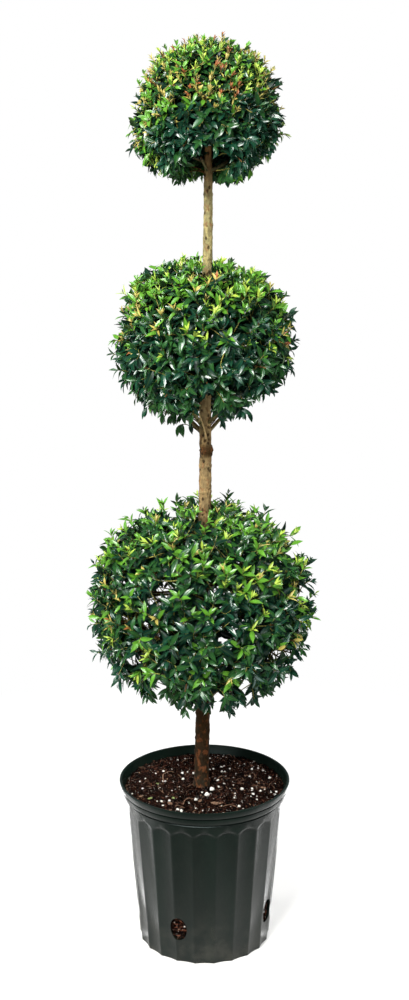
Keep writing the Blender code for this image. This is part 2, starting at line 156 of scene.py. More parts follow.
# Bits strewn on the mix: name, form, setting and share of it, smallest and largest size, how much
# the small ones prevail, slant, seed and finish
STREWN = (
    ("mix_peat", "chip", "chips", 0.60, 0.0024, 0.0100, 2.0, 1.2, 5, "peat"),
    ("mix_chips", "chip", "chips", 0.50, 0.0020, 0.0100, 2.4, 1.0, 1, "bark"),
    ("mix_dry_chips", "chip", "chips", 0.10, 0.0014, 0.0080, 3.4, 0.8, 2, "dry"),
    ("mix_fibres", "fibre", "fibres", 1.0, 0.005, 0.020, 2.4, 0.4, 3, "dry"),
    ("mix_perlite", "grain", "perlite", 1.0, 0.0008, 0.0056, 6.0, 0.5, 4, "white"),
)
# Larger bits laid one by one: form, its number, finish, and (x, y, size, turn in degrees) of each
LAID = {
    "mix_large_perlite": ("grain", 0, "white", (
        (0.0045, -0.046, 0.0082, 0), (0.0134, -0.025, 0.0085, 40), (0.0668, -0.021, 0.0060, 80),
        (-0.0152, -0.066, 0.0056, 10), (0.086, -0.040, 0.0052, 120), (0.060, -0.090, 0.0050, 30),
        (-0.046, -0.104, 0.0056, 60), (-0.040, -0.108, 0.0048, 0), (-0.075, -0.070, 0.0046, 90),
        (0.118, 0.030, 0.0050, 20), (-0.020, 0.044, 0.0046, 70), (-0.110, -0.020, 0.0046, 50),
    )),
    "mix_large_chips": ("chip", 2, "dry", (
        (0.022, -0.088, 0.0180, 25), (0.016, -0.080, 0.0140, 10), (-0.008, -0.074, 0.0130, 70),
        (-0.060, -0.084, 0.0140, -50), (0.105, -0.020, 0.0130, -20), (-0.112, -0.052, 0.0120, 60),
    )),
    "mix_straw": ("fibre", 1, "dry", (
        (-0.072, 0.020, 0.036, 85), (-0.030, -0.082, 0.030, 60), (0.045, -0.104, 0.026, -15),
        (0.030, 0.020, 0.020, 40), (-0.064, 0.046, 0.018, 20), (0.088, 0.030, 0.022, -60),
    )),
    "mix_leaf_litter": ("chip", 4, "leaf", (
        (-0.0954, -0.0625, 0.0125, 30), (-0.0544, -0.0625, 0.0110, 110), (-0.084, 0.000, 0.0080, 0),
    )),
}
# Colours of the leaf litter and of the chips by the drain holes. The drain chips' red-brown is
# far lighter than the other chips: partly the bark's own red, partly painted light that lifts the
# shade inside the holes.
LITTER = ((0.09, 0.12, 0.03), (0.32, 0.40, 0.16))
RED_CHIP = (0.30, 0.105, 0.060)

# Stem, as in the source
STEM_FOOT = 0.2903
STEM_TIP = 1.505
STEM_RADIUS = 0.0128
STEM_TAPER_LENGTH = 1.90
STEM_TAPER_POWER = 1.4
STEM_END_LENGTH = 0.16
STEM_END_SHARE = 0.50
STEM_OFFSET = -0.0055
STEM_LEAN = 0.0105
STEM_BEND = 0.0011
STEM_BEND_LENGTH = 0.43
STEM_BEND_ONSET = 0.1
STEM_SIDE_RATE = 0.8
STEM_UPRIGHT = 0.01
FLARE_RISE = 0.0030
FLARE_HEIGHT = 0.010
SCAR_HEIGHT = 0.902
SCAR_RISE = 0.0026
SCAR_HALF = 0.0065
STEM_STEP = 0.0017
KNUCKLE_HALF = 0.0022
SCAR_SIDE = 0.55
SCAR_GROOVE = 0.25
# Old leaf joints that ring the stem
LOWEST_RING = 0.33
RING_STEP = (0.012, 0.034)
RING_RISE = (0.0002, 0.0009)


def dealt(text):
    """A list of names, each as often as the number before it says."""
    words = text.split()
    return [name for times, name in zip(words[::2], words[1::2]) for _ in range(int(times))]


# Balls, as in the source. A tint is a kind of leaf at an azimuth and a lift, in degrees, with the
# azimuth counted from the front towards the right. The ages deal the other kinds by height; the
# deep leaves, most common around and below the middle, are partly a darker old-leaf green and
# partly painted shade.
BALLS = {
    "top": {
        "height": 1.4585, "radius": 0.131, "shoots": 40, "boughs": 4,
        "bough_start": -0.72, "bough_turn": math.radians(-15), "seed": 11,
        "density": 1.45, "hem_lift": 0.11, "open": 0.955, "upright": 1.50, "grown": 0.0260,
        "breadth": 1.28, "swing": 0.18,
        "tip_pairs": "narrow", "swell": 0.0, "top_trim": 0.035, "low_trim": 0.0,
        "dents": ((-90, 45, 0.04), (-90, 70, 0.04), (100, 72, 0.06), (90, -48, 0.12),
                  (90, 2, 0.07), (-90, 2, 0.09), (-90, -25, -0.09), (-60, -75, 0.14),
                  (90, -15, -0.07), (80, 55, -0.03)),
        "gaps": (),
        "windows": ((0.0035, 1.352, 9), (0.0035, 1.363, 9), (0.0035, 1.375, 8), (0.004, 1.387, 7),
                    (0.004, 1.398, 5), (0.019, 1.376, 5), (0.028, 1.381, 5), (0.037, 1.386, 4),
                    (-0.012, 1.374, 6), (-0.020, 1.380, 4)),
        "hanging": ((1.362, -75, 0.046, -0.002), (1.364, 75, 0.030, -0.004),
                    (1.366, 84, 0.052, 0.000), (1.364, -96, 0.060, 0.004),
                    (1.360, 165, 0.036, -0.002)),
        "ages": (
            (0.24, dealt("4 bronze 4 lime 3 fresh 1 copper")),
            (0.06, dealt("2 bronze 1 lime 1 fresh 3 green 4 deep")),
            (-0.62, dealt("4 deep 2 green")),
            (-2.0, dealt("3 green 1 fresh 1 deep")),
        ),
        "tints": (
            ("bronze", -55, 30), ("bronze", -39, 34), ("bronze", -57, 12), ("bronze", -48, 2),
            ("lime", -40, 49), ("bronze", -59, -10), ("bronze", -39, 12), ("copper", 16, 33),
            ("copper", 18, 20), ("copper", -17, 17), ("bronze", -3, 22), ("fresh", 43, 42),
            ("fresh", 50, 57), ("fresh", -21, 57), ("lime", -4, 55), ("lime", 32, 29),
            ("lime", 55, 30), ("bronze", 54, 17), ("lime", 7, 53), ("bronze", 78, 6),
            ("lime", 84, -14), ("bronze", -84, 14), ("lime", -86, -6), ("bronze", -80, -22),
            ("lime", -74, -42), ("lime", 72, -38), ("bronze", -78, 36), ("bronze", 80, 30),
        ),
    },
    "middle": {
        "height": 1.089, "radius": 0.158, "shoots": 54, "boughs": 5,
        "bough_start": -1.02, "bough_turn": math.radians(170), "seed": 23,
        "density": 1.04, "hem_lift": 0.08, "open": 0.955, "upright": 1.10, "grown": 0.0275,
        "breadth": 1.12, "swing": 0.30,
        "tip_pairs": "broad", "swell": 0.015, "top_trim": 0.045, "low_trim": 0.0,
        "dents": ((84, -46, 0.34), (70, -66, 0.26), (112, 74, 0.18), (-110, 74, 0.03),
                  (-64, -72, 0.36), (90, -26, -0.07), (90, 2, 0.05), (-90, 13, 0.11),
                  (-90, 30, -0.04), (-90, 60, 0.03), (-90, -3, -0.03), (90, 45, 0.05),
                  (40, -60, 0.05)),
        "gaps": (),
        "windows": ((0.0015, 0.935, 12), (0.0015, 0.945, 11), (0.002, 0.957, 10),
                    (0.0025, 0.968, 8), (0.003, 0.985, 5), (-0.015, 0.952, 3), (0.020, 0.948, 4),
                    (0.0045, 1.226, 5), (0.0045, 1.216, 5), (0.0045, 1.206, 4)),
        "hanging": ((0.932, -86, 0.044, 0.014), (0.936, -80, 0.026, 0.014),
                    (0.940, 80, 0.030, 0.018), (0.944, 92, 0.044, 0.030),
                    (0.948, 178, 0.040, 0.014), (0.950, -92, 0.072, 0.016),
                    (0.952, -84, 0.058, 0.012), (0.948, 86, 0.056, 0.034),
                    (0.950, -78, 0.100, 0.030), (0.947, -70, 0.076, 0.022),
                    (0.949, 74, 0.074, 0.026)),
        "ages": (
            (0.42, dealt("1 bronze 3 lime 4 fresh 3 green")),
            (0.06, dealt("1 bronze 1 lime 1 fresh 4 green 4 deep")),
            (-0.70, dealt("3 deep 3 green")),
            (-2.0, dealt("3 green 1 fresh 1 deep")),
        ),
        "tints": (
            ("bronze", -78, 26), ("bronze", -76, 3), ("copper", -58, -3), ("bronze", -55, 28),
            ("lime", -46, 46), ("lime", 58, 20), ("lime", 19, 35), ("lime", 7, 29),
            ("lime", -10, 18), ("lime", 64, 32), ("bronze", -1, 41), ("copper", 14, 45),
            ("copper", 57, 3), ("bronze", -28, 32), ("lime", 69, -9), ("fresh", -20, 65),
        ),
    },
    "bottom": {
        "height": 0.624, "radius": 0.201, "shoots": 70, "boughs": 5,
        "bough_start": -0.90, "bough_turn": math.radians(35), "seed": 37,
        "density": 0.98, "hem_lift": 0.0, "open": 0.86, "upright": 0.95, "grown": 0.0285,
        "breadth": 1.08, "swing": 0.40,
        "tip_pairs": "broad", "swell": 0.045, "top_trim": 0.045, "low_trim": 0.07,
        "dents": ((-100, 62, 0.07), (-56, -74, 0.42), (70, -58, 0.07), (105, 72, 0.06),
                  (90, -12, 0.03), (-90, -14, 0.05), (90, 30, -0.02), (90, -32, 0.05),
                  (90, 48, 0.05), (-80, -56, 0.03), (90, -50, -0.02)),
        "windows": ((-0.0005, 0.812, 5), (-0.0005, 0.801, 5), (-0.0005, 0.790, 5), (0.0, 0.780, 4)),
        "hanging": ((0.470, -30, 0.050, 0.004), (0.468, 150, 0.055, 0.002)),
        "gaps": ((-0.0775, 0.477, 7), (-0.107, 0.586, 6), (-0.128, 0.525, 5), (-0.095, 0.636, 4),
                 (-0.069, 0.650, 4), (0.123, 0.535, 5), (0.145, 0.538, 4), (0.172, 0.648, 5),
                 (0.151, 0.722, 5), (-0.058, 0.794, 5), (0.074, 0.479, 5), (0.024, 0.457, 4),
                 (-0.140, 0.600, 4), (0.030, 0.560, 3)),
        "ages": (
            (0.42, dealt("1 bronze 2 lime 3 fresh 4 green")),
            (-0.05, dealt("1 bronze 1 lime 1 fresh 6 green 5 deep")),
            (-2.0, dealt("1 fresh 5 green 4 deep")),
        ),
        "tints": (
            ("bronze", -89, 50), ("bronze", -82, 40), ("bronze", -56, 17), ("copper", -45, 5),
            ("fresh", 11, 44), ("fresh", 39, 60), ("bronze", -5, 40), ("lime", 67, 6),
            ("bronze", 71, 20), ("lime", -27, -11), ("lime", -46, -24), ("green", 4, -5),
            ("lime", 23, 24), ("bronze", 21, -23), ("bronze", 83, 43),
        ),
    },
}
SQUARENESS = 2.25
SQUARENESS_BELOW = 0.35
LOBE_COUNT = 3
LOBE_RISE = 0.018
CORE_SHARE = 0.805
OPEN_UNDERSIDE = 0.86
STRAY_EVERY = 9
STRAY_REACH = 1.05
SHORTEST_REACH = 0.95
HEADING_LIFT = 0.25
HEADING_LEVEL = 0.4
SHOOT_STRAY = 0.12
TWIG_ROOT_SHARE = 0.66
LEAF_STRAY = 0.30
LOW_HANG = 0.65
BOUGH_START_STEP = 0.055
BOUGH_END = -0.36
BOUGH_REACH = 0.50
BOUGH_SAG = 0.07
BOUGH_RADIUS_SHARE = 0.42
BOUGH_RADIUS_STEP = 0.035
BOUGH_TIP_SHARE = 0.70
GOLDEN_ANGLE = math.pi * (3 - math.sqrt(5))

# Finer growth, beyond the source
BOUGH_STEPS = 24
BRANCH_STEPS = 10
SHOOT_STEPS = 7
DEEP_SHARE = 0.18
DEEP_REACH = (0.72, 0.90)
FINE_REACH = (0.93, 1.0)
UPRIGHT_FROM = -0.25
UPRIGHT_FULL = 0.45
DROOP = 0.30
LIMB_SPAN = (-0.55, 0.7)
BRANCH_REACH = 0.92
CLIMB_COST = 1.5
LIMB_SHARE = 0.7
BRANCH_THICK = 0.0027
BRANCH_THIN = 0.0011
SHOOT_THICK = 0.0011
SHOOT_THIN = 0.0005
STEM_CLEARANCE = {"above": 0.020, "below": 0.004, "leaf": 0.002}
# Inside leaves below this height are shaded, a near-black painted shade; above it they stay green
GREEN_INSIDE_ABOVE = 0.45
YOUNG_ABOVE = (-0.35, 0.25)
UPRIGHT_RANGE = (0.6, 1.4)
# How far inside the clipped face a shoot ends, in leaf lengths
INSET_YOUNG = 0.26
INSET_GROWN = 0.5
INSET_SLANTED = 0.5
HEM_WIDTH = math.radians(24)
HEM_WAVE = 0.03
DENT_WIDTH = 0.32
TWIG_THICK = 0.0013
STUB_FOOT = 0.924
STUB_RUN = (-0.0115, -0.008, 0.046)
STUB_THICK = 0.0015
# Tints: their reach and chance, and the drifts and strays in the ages of the other leaves
TINT_REACH = 0.021
TINT_CHANCE = 0.8
DRIFT_SCALE = 2.4
DRIFT_SHARE = 0.35
AGE_STRAY = 0.12
# Roughness, paleness underneath and mirroring of each kind of leaf
KINDS = {
    "shaded": (0.36, 0.03, 0.18), "deep": (0.25, 0.10, 0.5), "green": (0.27, 0.20, 0.5),
    "fresh": (0.34, 0.35, 0.45), "lime": (0.42, 0.40, 0.45), "bronze": (0.42, 0.40, 0.45),
    "copper": (0.42, 0.40, 0.45),
}
YOUNG_KINDS = ("lime", "bronze", "copper")
# The kinds of a shoot's pairs of leaves, from its tip inwards. The rest are shaded:
# near-black leaves that paint the shade deep in the ball.
AGEING = {
    "narrow": {
        "shaded": "", "deep": "3 deep", "green": "3 green 1 deep", "fresh": "3 fresh 2 green",
        "lime": "3 lime 1 fresh 1 green", "bronze": "3 bronze 1 fresh 1 green",
        "copper": "2 copper 1 bronze 2 green",
    },
    "broad": {
        "shaded": "", "deep": "3 deep", "green": "3 green", "fresh": "3 fresh 1 green",
        "lime": "2 lime 1 fresh 1 green", "bronze": "2 bronze 1 fresh 1 green",
        "copper": "1 copper 1 bronze 2 green",
    },
}
# Distance from the shoot's tip, size and opening in degrees of each pair of leaves
TIP_PAIRS = {
    "narrow": (
        (0.000, 0.34, 10), (0.003, 0.42, 18), (0.008, 0.48, 28), (0.015, 0.64, 40),
        (0.025, 0.90, 54), (0.036, 1.00, 64),
    ),
    "broad": (
        (0.000, 0.40, 16), (0.004, 0.62, 28), (0.012, 0.88, 40), (0.022, 1.02, 52),
        (0.034, 1.02, 64),
    ),
}
GROWN_PAIRS = (
    (0.000, 0.66, 28), (0.007, 0.90, 46), (0.017, 1.00, 58), (0.028, 1.00, 66), (0.040, 1.00, 72),
)
# Leaves: how short the shears may cut them, how flat they lie on the ball, and how much they vary
SMALLEST_CUT = 0.50
SHORTENED = 0.72
LIE = 0.35
LIE_FROM = (-0.7, 0.1)
LIE_TO = (0.45, 0.85)
LEAF_SPACING = (0.85, 1.15)
LEAF_OPENING = (0.75, 1.25)
LEAF_HANG = (-0.2, 1.6)
LEAF_LENGTH = (0.80, 1.15)
FACE_UP = 0.45
FACE_OUT = 0.45
FACE_BACK = 0.9
TOWARDS_LIGHT = Vector((-0.25, -0.75, 0.5))
OVERHANG = 0.0165
BARE_TIP = 0.006
GAP_EDGE = 0.0035
LIMB_STEP = 0.006
LONG_TWIG = 0.07
UNDERSIDE = (0.16, 0.24, 0.10)
# Half a leaf's width along it, then (fold, curl, twist, wave) of each form
LEAF_STATIONS = (
    (0.00, 0.014), (0.10, 0.062), (0.28, 0.128), (0.50, 0.152), (0.71, 0.122), (0.88, 0.052),
    (1.00, 0.000),
)
YOUNG_STATIONS = ((0.00, 0.03), (0.22, 0.078), (0.50, 0.100), (0.78, 0.058), (1.00, 0.000))
GROWN_FORMS = (
    (0.35, 0.22, 0.0, 0.1), (0.28, 0.42, 0.2, 0.2), (0.45, 0.30, 0.5, 0.1),
    (0.38, 0.34, -0.6, 0.15), (0.55, 0.12, 0.1, 0.0), (0.30, 0.52, -0.2, 0.25),
)
YOUNG_FORMS = ((0.5, 0.10, 0.0, 0.0), (0.4, 0.34, 0.3, 0.1), (0.6, 0.22, -0.3, 0.0))

# Camera and stage
PHOTO_HEIGHT = 1000
FOCAL_PIXELS = 1566
SENSOR = 36.0
CAMERA_PLACE = (0.0, -2.6, 1.463)
CAMERA_DIP = math.radians(14)
FLOOR_RADIUS = 40.0
FLOOR_FADE = (0.2, 1.3)
FLOOR_GLOW = 0.26
FLOOR_SHEEN = 0.35
FAR_GLOW = 0.12
# Bright rays on the floor that only reflections see: azimuth from straight behind, half width in
# radians, and strength. They draw the upright streaks in the pot's flutes.
FLOOR_RAYS = ((0.0, 0.11, 4.0), (0.55, 0.06, 4.6), (1.15, 0.05, 3.0), (1.75, 0.04, 1.3))
# Where the cool window stands that only reflections see, as a direction from the plant
SHEEN_FROM = Vector((-0.20, -0.72, 0.66)).normalized()
SHEEN_EDGE = (0.82, 0.95)
SHEEN_TINT = (0.80, 1.0, 0.98)
# Light of the room from overhead, from behind and from all round
ROOM_LIGHT = (0.17, 0.25, 0.012)
LAMP_AIM = Vector((0, 0, 0.8))
# Name, place, setting of the power, width and height, and colour
LAMPS = (
    ("key_light", (-1.1, -2.3, 3.0), "key", (1.3, 1.3), (1.0, 0.98, 0.93)),
    ("left_strip", (-2.1, 0.1, 1.2), "strips", (0.7, 2.0), (1.0, 1.0, 1.0)),
    ("right_strip", (2.1, 0.1, 1.2), "strips", (0.7, 2.0), (1.0, 1.0, 1.0)),
    ("back_fill", (0.9, 2.5, 2.6), "fill", (1.6, 1.6), (1.0, 1.0, 1.0)),
    ("low_fill", (0.5, -2.5, 0.30), "low", (1.8, 0.8), (1.0, 1.0, 1.0)),
)


# ---------------------------------------------------------------- sizes and colours to change


def length(default, description):
    """A distance in metres."""
    return FloatProperty(description=description, default=default, min=0.0, precision=4,
                         subtype="DISTANCE", unit="LENGTH")


def share(default, description):
    """A part of one."""
    return FloatProperty(description=description, default=default, min=0.0, max=1.0,
                         subtype="FACTOR")


def number(default, description, least=1):
    """A whole number."""
    return IntProperty(description=description, default=default, min=least)


def colour(default, description):
    """A colour."""
    return FloatVectorProperty(description=description, default=default, size=3, min=0.0,
                               max=1.0, subtype="COLOR")


def power(default, description, unit="POWER"):
    """The strength of a light."""
    return FloatProperty(description=description, default=default, unit=unit)


class PotSettings(PropertyGroup):
    flutes: number(22, "Hollow flutes round the wall", 3)
    flute_depth: length(0.0030, "How far a flute is hollowed at its middle")
    drains: number(4, "Oval holes round the foot of the wall")
    drain_width: length(0.031, "Width of a drain hole")
    drain_height: length(0.044, "Height of a drain hole")
    drain_level: length(0.065, "Height of a drain hole's middle")
    # Its green tint is partly painted reflection of the leaves; the rest is the plastic's own black
    plastic: colour((0.0028, 0.0068, 0.0050), "The pot's own black")
    dust: colour((0.085, 0.080, 0.066), "Dried splashes and dust on the pot")


class MixSettings(PropertyGroup):
    lump: length(0.0026, "How uneven the mix lies")
    chips: number(52000, "Bark chips on each square metre")
    perlite: number(5200, "Perlite grains on each square metre")
    fibres: number(3000, "Loose fibres on each square metre")
    dark: colour((0.0009, 0.0006, 0.0005), "Moist peat, the darkest of the mix")
    brown: colour((0.042, 0.016, 0.010), "The bark chips")
    tan: colour((0.27, 0.160, 0.105), "The few pale chips and fibres")
    white: colour((0.84, 0.82, 0.78), "The perlite grains")


class WoodSettings(PropertyGroup):
    relief: share(0.13, "Bark relief as a share of the stem's radius")
    olive: colour((0.225, 0.198, 0.092), "The smooth bark")
    brown: colour((0.042, 0.021, 0.0065), "The old bark near the foot")
    tan: colour((0.232, 0.163, 0.076), "The dry bark between the balls")
    red: colour((0.20, 0.062, 0.020), "Fresh bark under the peeling flakes")
    twig: colour((0.23, 0.22, 0.05), "The youngest wood")


class FoliageSettings(PropertyGroup):
    leaf_scale: share(1.0, "Size of the leaves, as a share of life size")
    fineness: number(16, "Fine shoots for each shoot of the source")
    # shaded is painted shade: a near-black green for leaves inside the ball, standing in for its
    # shade
    shaded: colour((0.0022, 0.0165, 0.0092), "Old leaves inside the ball")
    # deep: a darker old-leaf green, dealt most around and below the middle, where it partly paints
    # shade
    deep: colour((0.0045, 0.0330, 0.0172), "Old leaves low on the ball")
    green: colour((0.011, 0.052, 0.012), "Grown leaves")
    fresh: colour((0.068, 0.195, 0.016), "This season's leaves")
    lime: colour((0.270, 0.370, 0.045), "New leaves")
    bronze: colour((0.310, 0.255, 0.062), "Young tips, yellow-brown")
    copper: colour((0.250, 0.082, 0.026), "Young tips, orange-red")


class StageSettings(PropertyGroup):
    floor: colour((0.86, 0.855, 0.84), "The pale floor")
    sky: power(1.0, "Strength of the pale surroundings", "NONE")
    sheen: power(5.5, "Strength of the cool window that leaves mirror", "NONE")
    bounce: share(0.29, "How much light the floor throws back up")
    key: power(262, "Main lamp, in watts")
    fill: power(120, "Lamp behind, in watts")
    low: power(29, "Low lamp in front, in watts")
    strips: power(27, "Lamps at both sides, in watts")


class TopiarySettings(PropertyGroup):
    pot: PointerProperty(type=PotSettings)
    mix: PointerProperty(type=MixSettings)
    wood: PointerProperty(type=WoodSettings)
    foliage: PointerProperty(type=FoliageSettings)
    stage: PointerProperty(type=StageSettings)


# ---------------------------------------------------------------- node trees


NODE_FAMILIES = ("ShaderNode", "GeometryNode", "FunctionNode", "Node")


class Out:
    """A node's output. Sums written with outputs become Math nodes of their tree."""

    def __init__(self, tree, node, key=0):
        self.tree, self.node, self.key = tree, node, key

    def __getitem__(self, key):
        return Out(self.tree, self.node, key)

    def __add__(self, other):
        return calc("ADD", self, other)

    def __sub__(self, other):
        return calc("SUBTRACT", self, other)

    def __mul__(self, other):
        return calc("MULTIPLY", self, other)

    def __abs__(self):
        return calc("ABSOLUTE", self)


def socket(sockets, key):
    """A socket by its number, its identifier, or its name with _ for each space."""
    if isinstance(key, int):
        return sockets[key]
    return next(item for item in sockets if key in (item.identifier, item.name.replace(" ", "_")))


def add(tree, kind, *values, **named):
    """Adds a node. Plain values go to its inputs in order. Names with a capital are inputs too,
    and the others are settings."""
    node = tree.nodes.new(next(
        family + kind for family in NODE_FAMILIES if hasattr(bpy.types, family + kind)
    ))
    for name in [name for name in named if name[0].islower()]:
        setattr(node, name, named.pop(name))
    for key, value in (*enumerate(values), *named.items()):
        target = socket(node.inputs, key)
        if isinstance(value, Out):
            tree.links.new(socket(value.node.outputs, value.key), target)
        else:
            target.default_value = value
    return Out(tree, node)


def calc(operation, *values, kind="Math", **named):
    """A Math node in the tree of the first output among its values."""
    tree = next(value.tree for value in (*values, *named.values()) if isinstance(value, Out))
    return add(tree, kind, *values, operation=operation, **named)


def vec(operation, *values, **named):
    """The same with a Vector Math node."""
    return calc(operation, *values, kind="VectorMath", **named)


def spread(value, low, high, first=0.0, last=1.0):
    """Maps a value from low..high to first..last, and holds it there."""
    return add(value.tree, "MapRange", value, low, high, first, last)


def new_group(name, kind, result, **inputs):
    """An empty node group with one result, and its inputs as outputs inside it. An input is given
    by its default, or by its type alone."""
    tree = bpy.data.node_groups.new(f"topiary {name}", f"{kind}NodeTree")
    tree.interface.new_socket(result, in_out="OUTPUT", socket_type=f"NodeSocket{result}")
    for label, default in inputs.items():
        bare = isinstance(default, str)
        typed = default if bare else {int: "Int", float: "Float", tuple: "Vector"}[type(default)]
        made = tree.interface.new_socket(label.replace("_", " "), in_out="INPUT",
                                         socket_type=f"NodeSocket{typed}")
        if not bare:
            made.default_value = default
    return tree, Out(tree, tree.nodes.new("NodeGroupInput"))


def kept_group(name, build):
    """The node group of that name, built on first use."""
    return bpy.data.node_groups.get(f"topiary {name}") or build(name)


def maker(name, **inputs):
    """A Geometry Nodes group that is still empty."""
    return new_group(name, "Geometry", "Geometry", Geometry="Geometry", **inputs,
                     Material="Material")


def close_tree(geometry, given):
    """Ends a tree in realized instances with their material."""
    real = add(geometry.tree, "RealizeInstances", geometry)
    painted = add(geometry.tree, "SetMaterial", real, Material=given["Material"])
    add(geometry.tree, "GroupOutput", painted)
    return geometry.tree


def held(tree, name, data_type="FLOAT"):
    """What the points or faces hold under a name."""
    return add(tree, "InputNamedAttribute", name, data_type=data_type)


def parts_of(forms):
    """The objects of a collection, to pick from."""
    return add(forms.tree, "CollectionInfo", forms, Separate_Children=True,
               Reset_Children=True)


def ring_of(geometry, count, first=0.0):
    """Copies of a geometry, evenly spaced round the upright axis."""
    tree = geometry.tree
    step = calc("DIVIDE", 2 * math.pi, count)
    turn = calc("MULTIPLY_ADD", add(tree, "InputIndex"), step, first)
    rotation = add(tree, "EulerToRotation", add(tree, "CombineXYZ", Z=turn))
    points = add(tree, "Points", count)
    copies = add(tree, "InstanceOnPoints", points, Instance=geometry,
                 Rotation=rotation)
    return add(tree, "RealizeInstances", copies)


def pot_tree(name):
    """Sets one panel of the pot round its axis, and cuts the drain holes."""
    tree, given = maker(name, Panels=22, Drains=4, First_Drain=0.0, Drain_Size=(0.03, 0.04, 0.03),
                        Drain_Place=(0.0, -0.12, 0.06))
    body = add(tree, "MergeByDistance", ring_of(given, given["Panels"]),
               Distance=SAME_POINT)
    oval = add(tree, "MeshCylinder", Vertices=36, Radius=0.5, Depth=1.0)
    sized = add(tree, "Transform", oval, Scale=given["Drain_Size"])
    placed = add(tree, "Transform", sized, Translation=given["Drain_Place"],
                 Rotation=add(tree, "EulerToRotation", (math.pi / 2, 0, 0)))
    drains = ring_of(placed, given["Drains"], given["First_Drain"])
    cut = add(tree, "MeshBoolean", operation="DIFFERENCE", solver="EXACT", Mesh_1=body,
              Mesh_2=drains)
    return close_tree(cut, given)


def scatter_tree(name):
    """Strews bits where the faces' 'loose' value allows, each at its own slant, turn and size."""
    tree, given = maker(name, Bits="Collection", Density=1000.0, Smallest=0.001, Largest=0.004,
                        Skew=2.2, Slant=0.5, Seed=0)
    seed = given["Seed"]

    def drawn(data_type, **limits):
        return add(tree, "RandomValue", data_type=data_type, Seed=seed, **limits)

    points = add(tree, "DistributePointsOnFaces", given, Seed=seed,
                 Density=held(tree, "loose") * given["Density"])
    slant = vec("SCALE", (1, 1, 0), Scale=given["Slant"])
    turn = drawn("FLOAT_VECTOR", Min=vec("SUBTRACT", (0, 0, 0), slant),
                 Max=vec("ADD", slant, (0, 0, 2 * math.pi)))
    rotation = add(tree, "RotateRotation", points["Rotation"],
                   add(tree, "EulerToRotation", turn), rotation_space="LOCAL")
    skewed = calc("POWER", drawn("FLOAT", Min_001=0.0, Max_001=1.0)["Value_001"], given["Skew"])
    strewn = add(tree, "InstanceOnPoints", points, Instance=parts_of(given["Bits"]),
                 Pick_Instance=True, Rotation=rotation,
                 Instance_Index=drawn("INT", Min_002=0, Max_002=100)["Value_002"],
                 Scale=spread(skewed, 0.0, 1.0, given["Smallest"], given["Largest"]))
    return close_tree(strewn, given)


def limb_tree(name):
    """Sweeps a round section along lines whose points hold 'thickness', then raises long bark
    relief and sinks small pits, both as shares of that thickness."""
    tree, given = maker(name, Sides=6, Relief=0.0, Pits=0.0, Grain=120.0, Lumps=0.0)
    thickness = held(tree, "thickness")
    section = add(tree, "CurvePrimitiveCircle", Resolution=given["Sides"], Radius=1.0)
    swept = add(tree, "CurveToMesh", add(tree, "MeshToCurve", given),
                Profile_Curve=section, Scale=thickness, Fill_Caps=True)
    place = add(tree, "InputPosition")

    def drawn(height):
        return vec("MULTIPLY", place, (1, 1, height))

    grain = add(tree, "TexNoise", drawn(0.22), Scale=given["Grain"], Detail=3.0)
    cells = add(tree, "TexVoronoi", drawn(0.6), Scale=90.0)
    swelling = add(tree, "TexNoise", place, Scale=85.0, Detail=1.5)
    pit = spread(cells, 0.12, 0.30, 1.0, 0.0) * given["Pits"]
    raised = (grain - 0.5) * given["Relief"] - pit + (swelling - 0.5) * given["Lumps"]
    offset = calc("SCALE", add(tree, "InputNormal"), kind="VectorMath",
                  Scale=raised * thickness)
    rough = add(tree, "SetPosition", swept, Offset=offset)
    return close_tree(add(tree, "SetShadeSmooth", rough), given)


def leaf_tree(name):
    """Sets a leaf on every point: its form, its size and its stance are the point's own."""
    tree, given = maker(name, Forms="Collection")
    leaves = add(tree, "InstanceOnPoints", given, Instance=parts_of(given["Forms"]),
                 Pick_Instance=True, Instance_Index=held(tree, "form", "INT"),
                 Rotation=held(tree, "stance", "QUATERNION"), Scale=held(tree, "size"))
    return close_tree(leaves, given)


# ---------------------------------------------------------------- finishes


def spot(tree):
    """The place on the piece."""
    return add(tree, "TexCoord")["Object"]


def axes(tree):
    """The same along X, Y and Z."""
    return add(tree, "SeparateXYZ", spot(tree))


def stretched(tree, given):
    """The place on the piece, drawn out upright where Stretch is low."""
    drawn = add(tree, "CombineXYZ", 1.0, 1.0, given["Stretch"])
    return vec("MULTIPLY", spot(tree), drawn)


def mottle_group(name):
    """Uneven light and dark over a surface, from 0 to 1."""
    tree, given = new_group(name, "Shader", "Float", Scale=40.0, Stretch=1.0, Low=0.35, High=0.65)
    cloud = add(tree, "TexNoise", stretched(tree, given), Scale=given["Scale"],
                Detail=5.0, Roughness=0.6)
    add(tree, "GroupOutput", spread(cloud, given["Low"], given["High"]))
    return tree


def speckle_group(name):
    """Round specks scattered over a surface: 1 in a speck, 0 between them."""
    tree, given = new_group(name, "Shader", "Float", Scale=200.0, Stretch=1.0, Size=0.2)
    cells = add(tree, "TexVoronoi", stretched(tree, given), Scale=given["Scale"])
    add(tree, "GroupOutput", spread(cells, given["Size"], given["Size"] * 0.6))
    return tree


def mottle(tree, **given):
    """The shared mottling."""
    return add(tree, "Group", node_tree=kept_group("mottle", mottle_group), **given)


def speckle(tree, **given):
    """The shared specks."""
    return add(tree, "Group", node_tree=kept_group("speckle", speckle_group), **given)


def mixed(tree, factor, first, second, blend="MIX"):
    """Two colours blended by a factor."""
    first, second = (value if isinstance(value, Out) else (*value[:3], 1.0)
                     for value in (first, second))
    return add(tree, "Mix", data_type="RGBA", blend_type=blend, Factor_Float=factor,
               A_Color=first, B_Color=second)["Result_Color"]


def tone(shade, factor):
    """A colour made darker or lighter."""
    return tuple(min(1.0, channel * factor) for channel in shade)


def new_finish(name):
    """An empty material and its node tree."""
    material = bpy.data.materials.get(name) or bpy.data.materials.new(name)
    material.use_nodes = True
    material.node_tree.nodes.clear()
    return material, material.node_tree


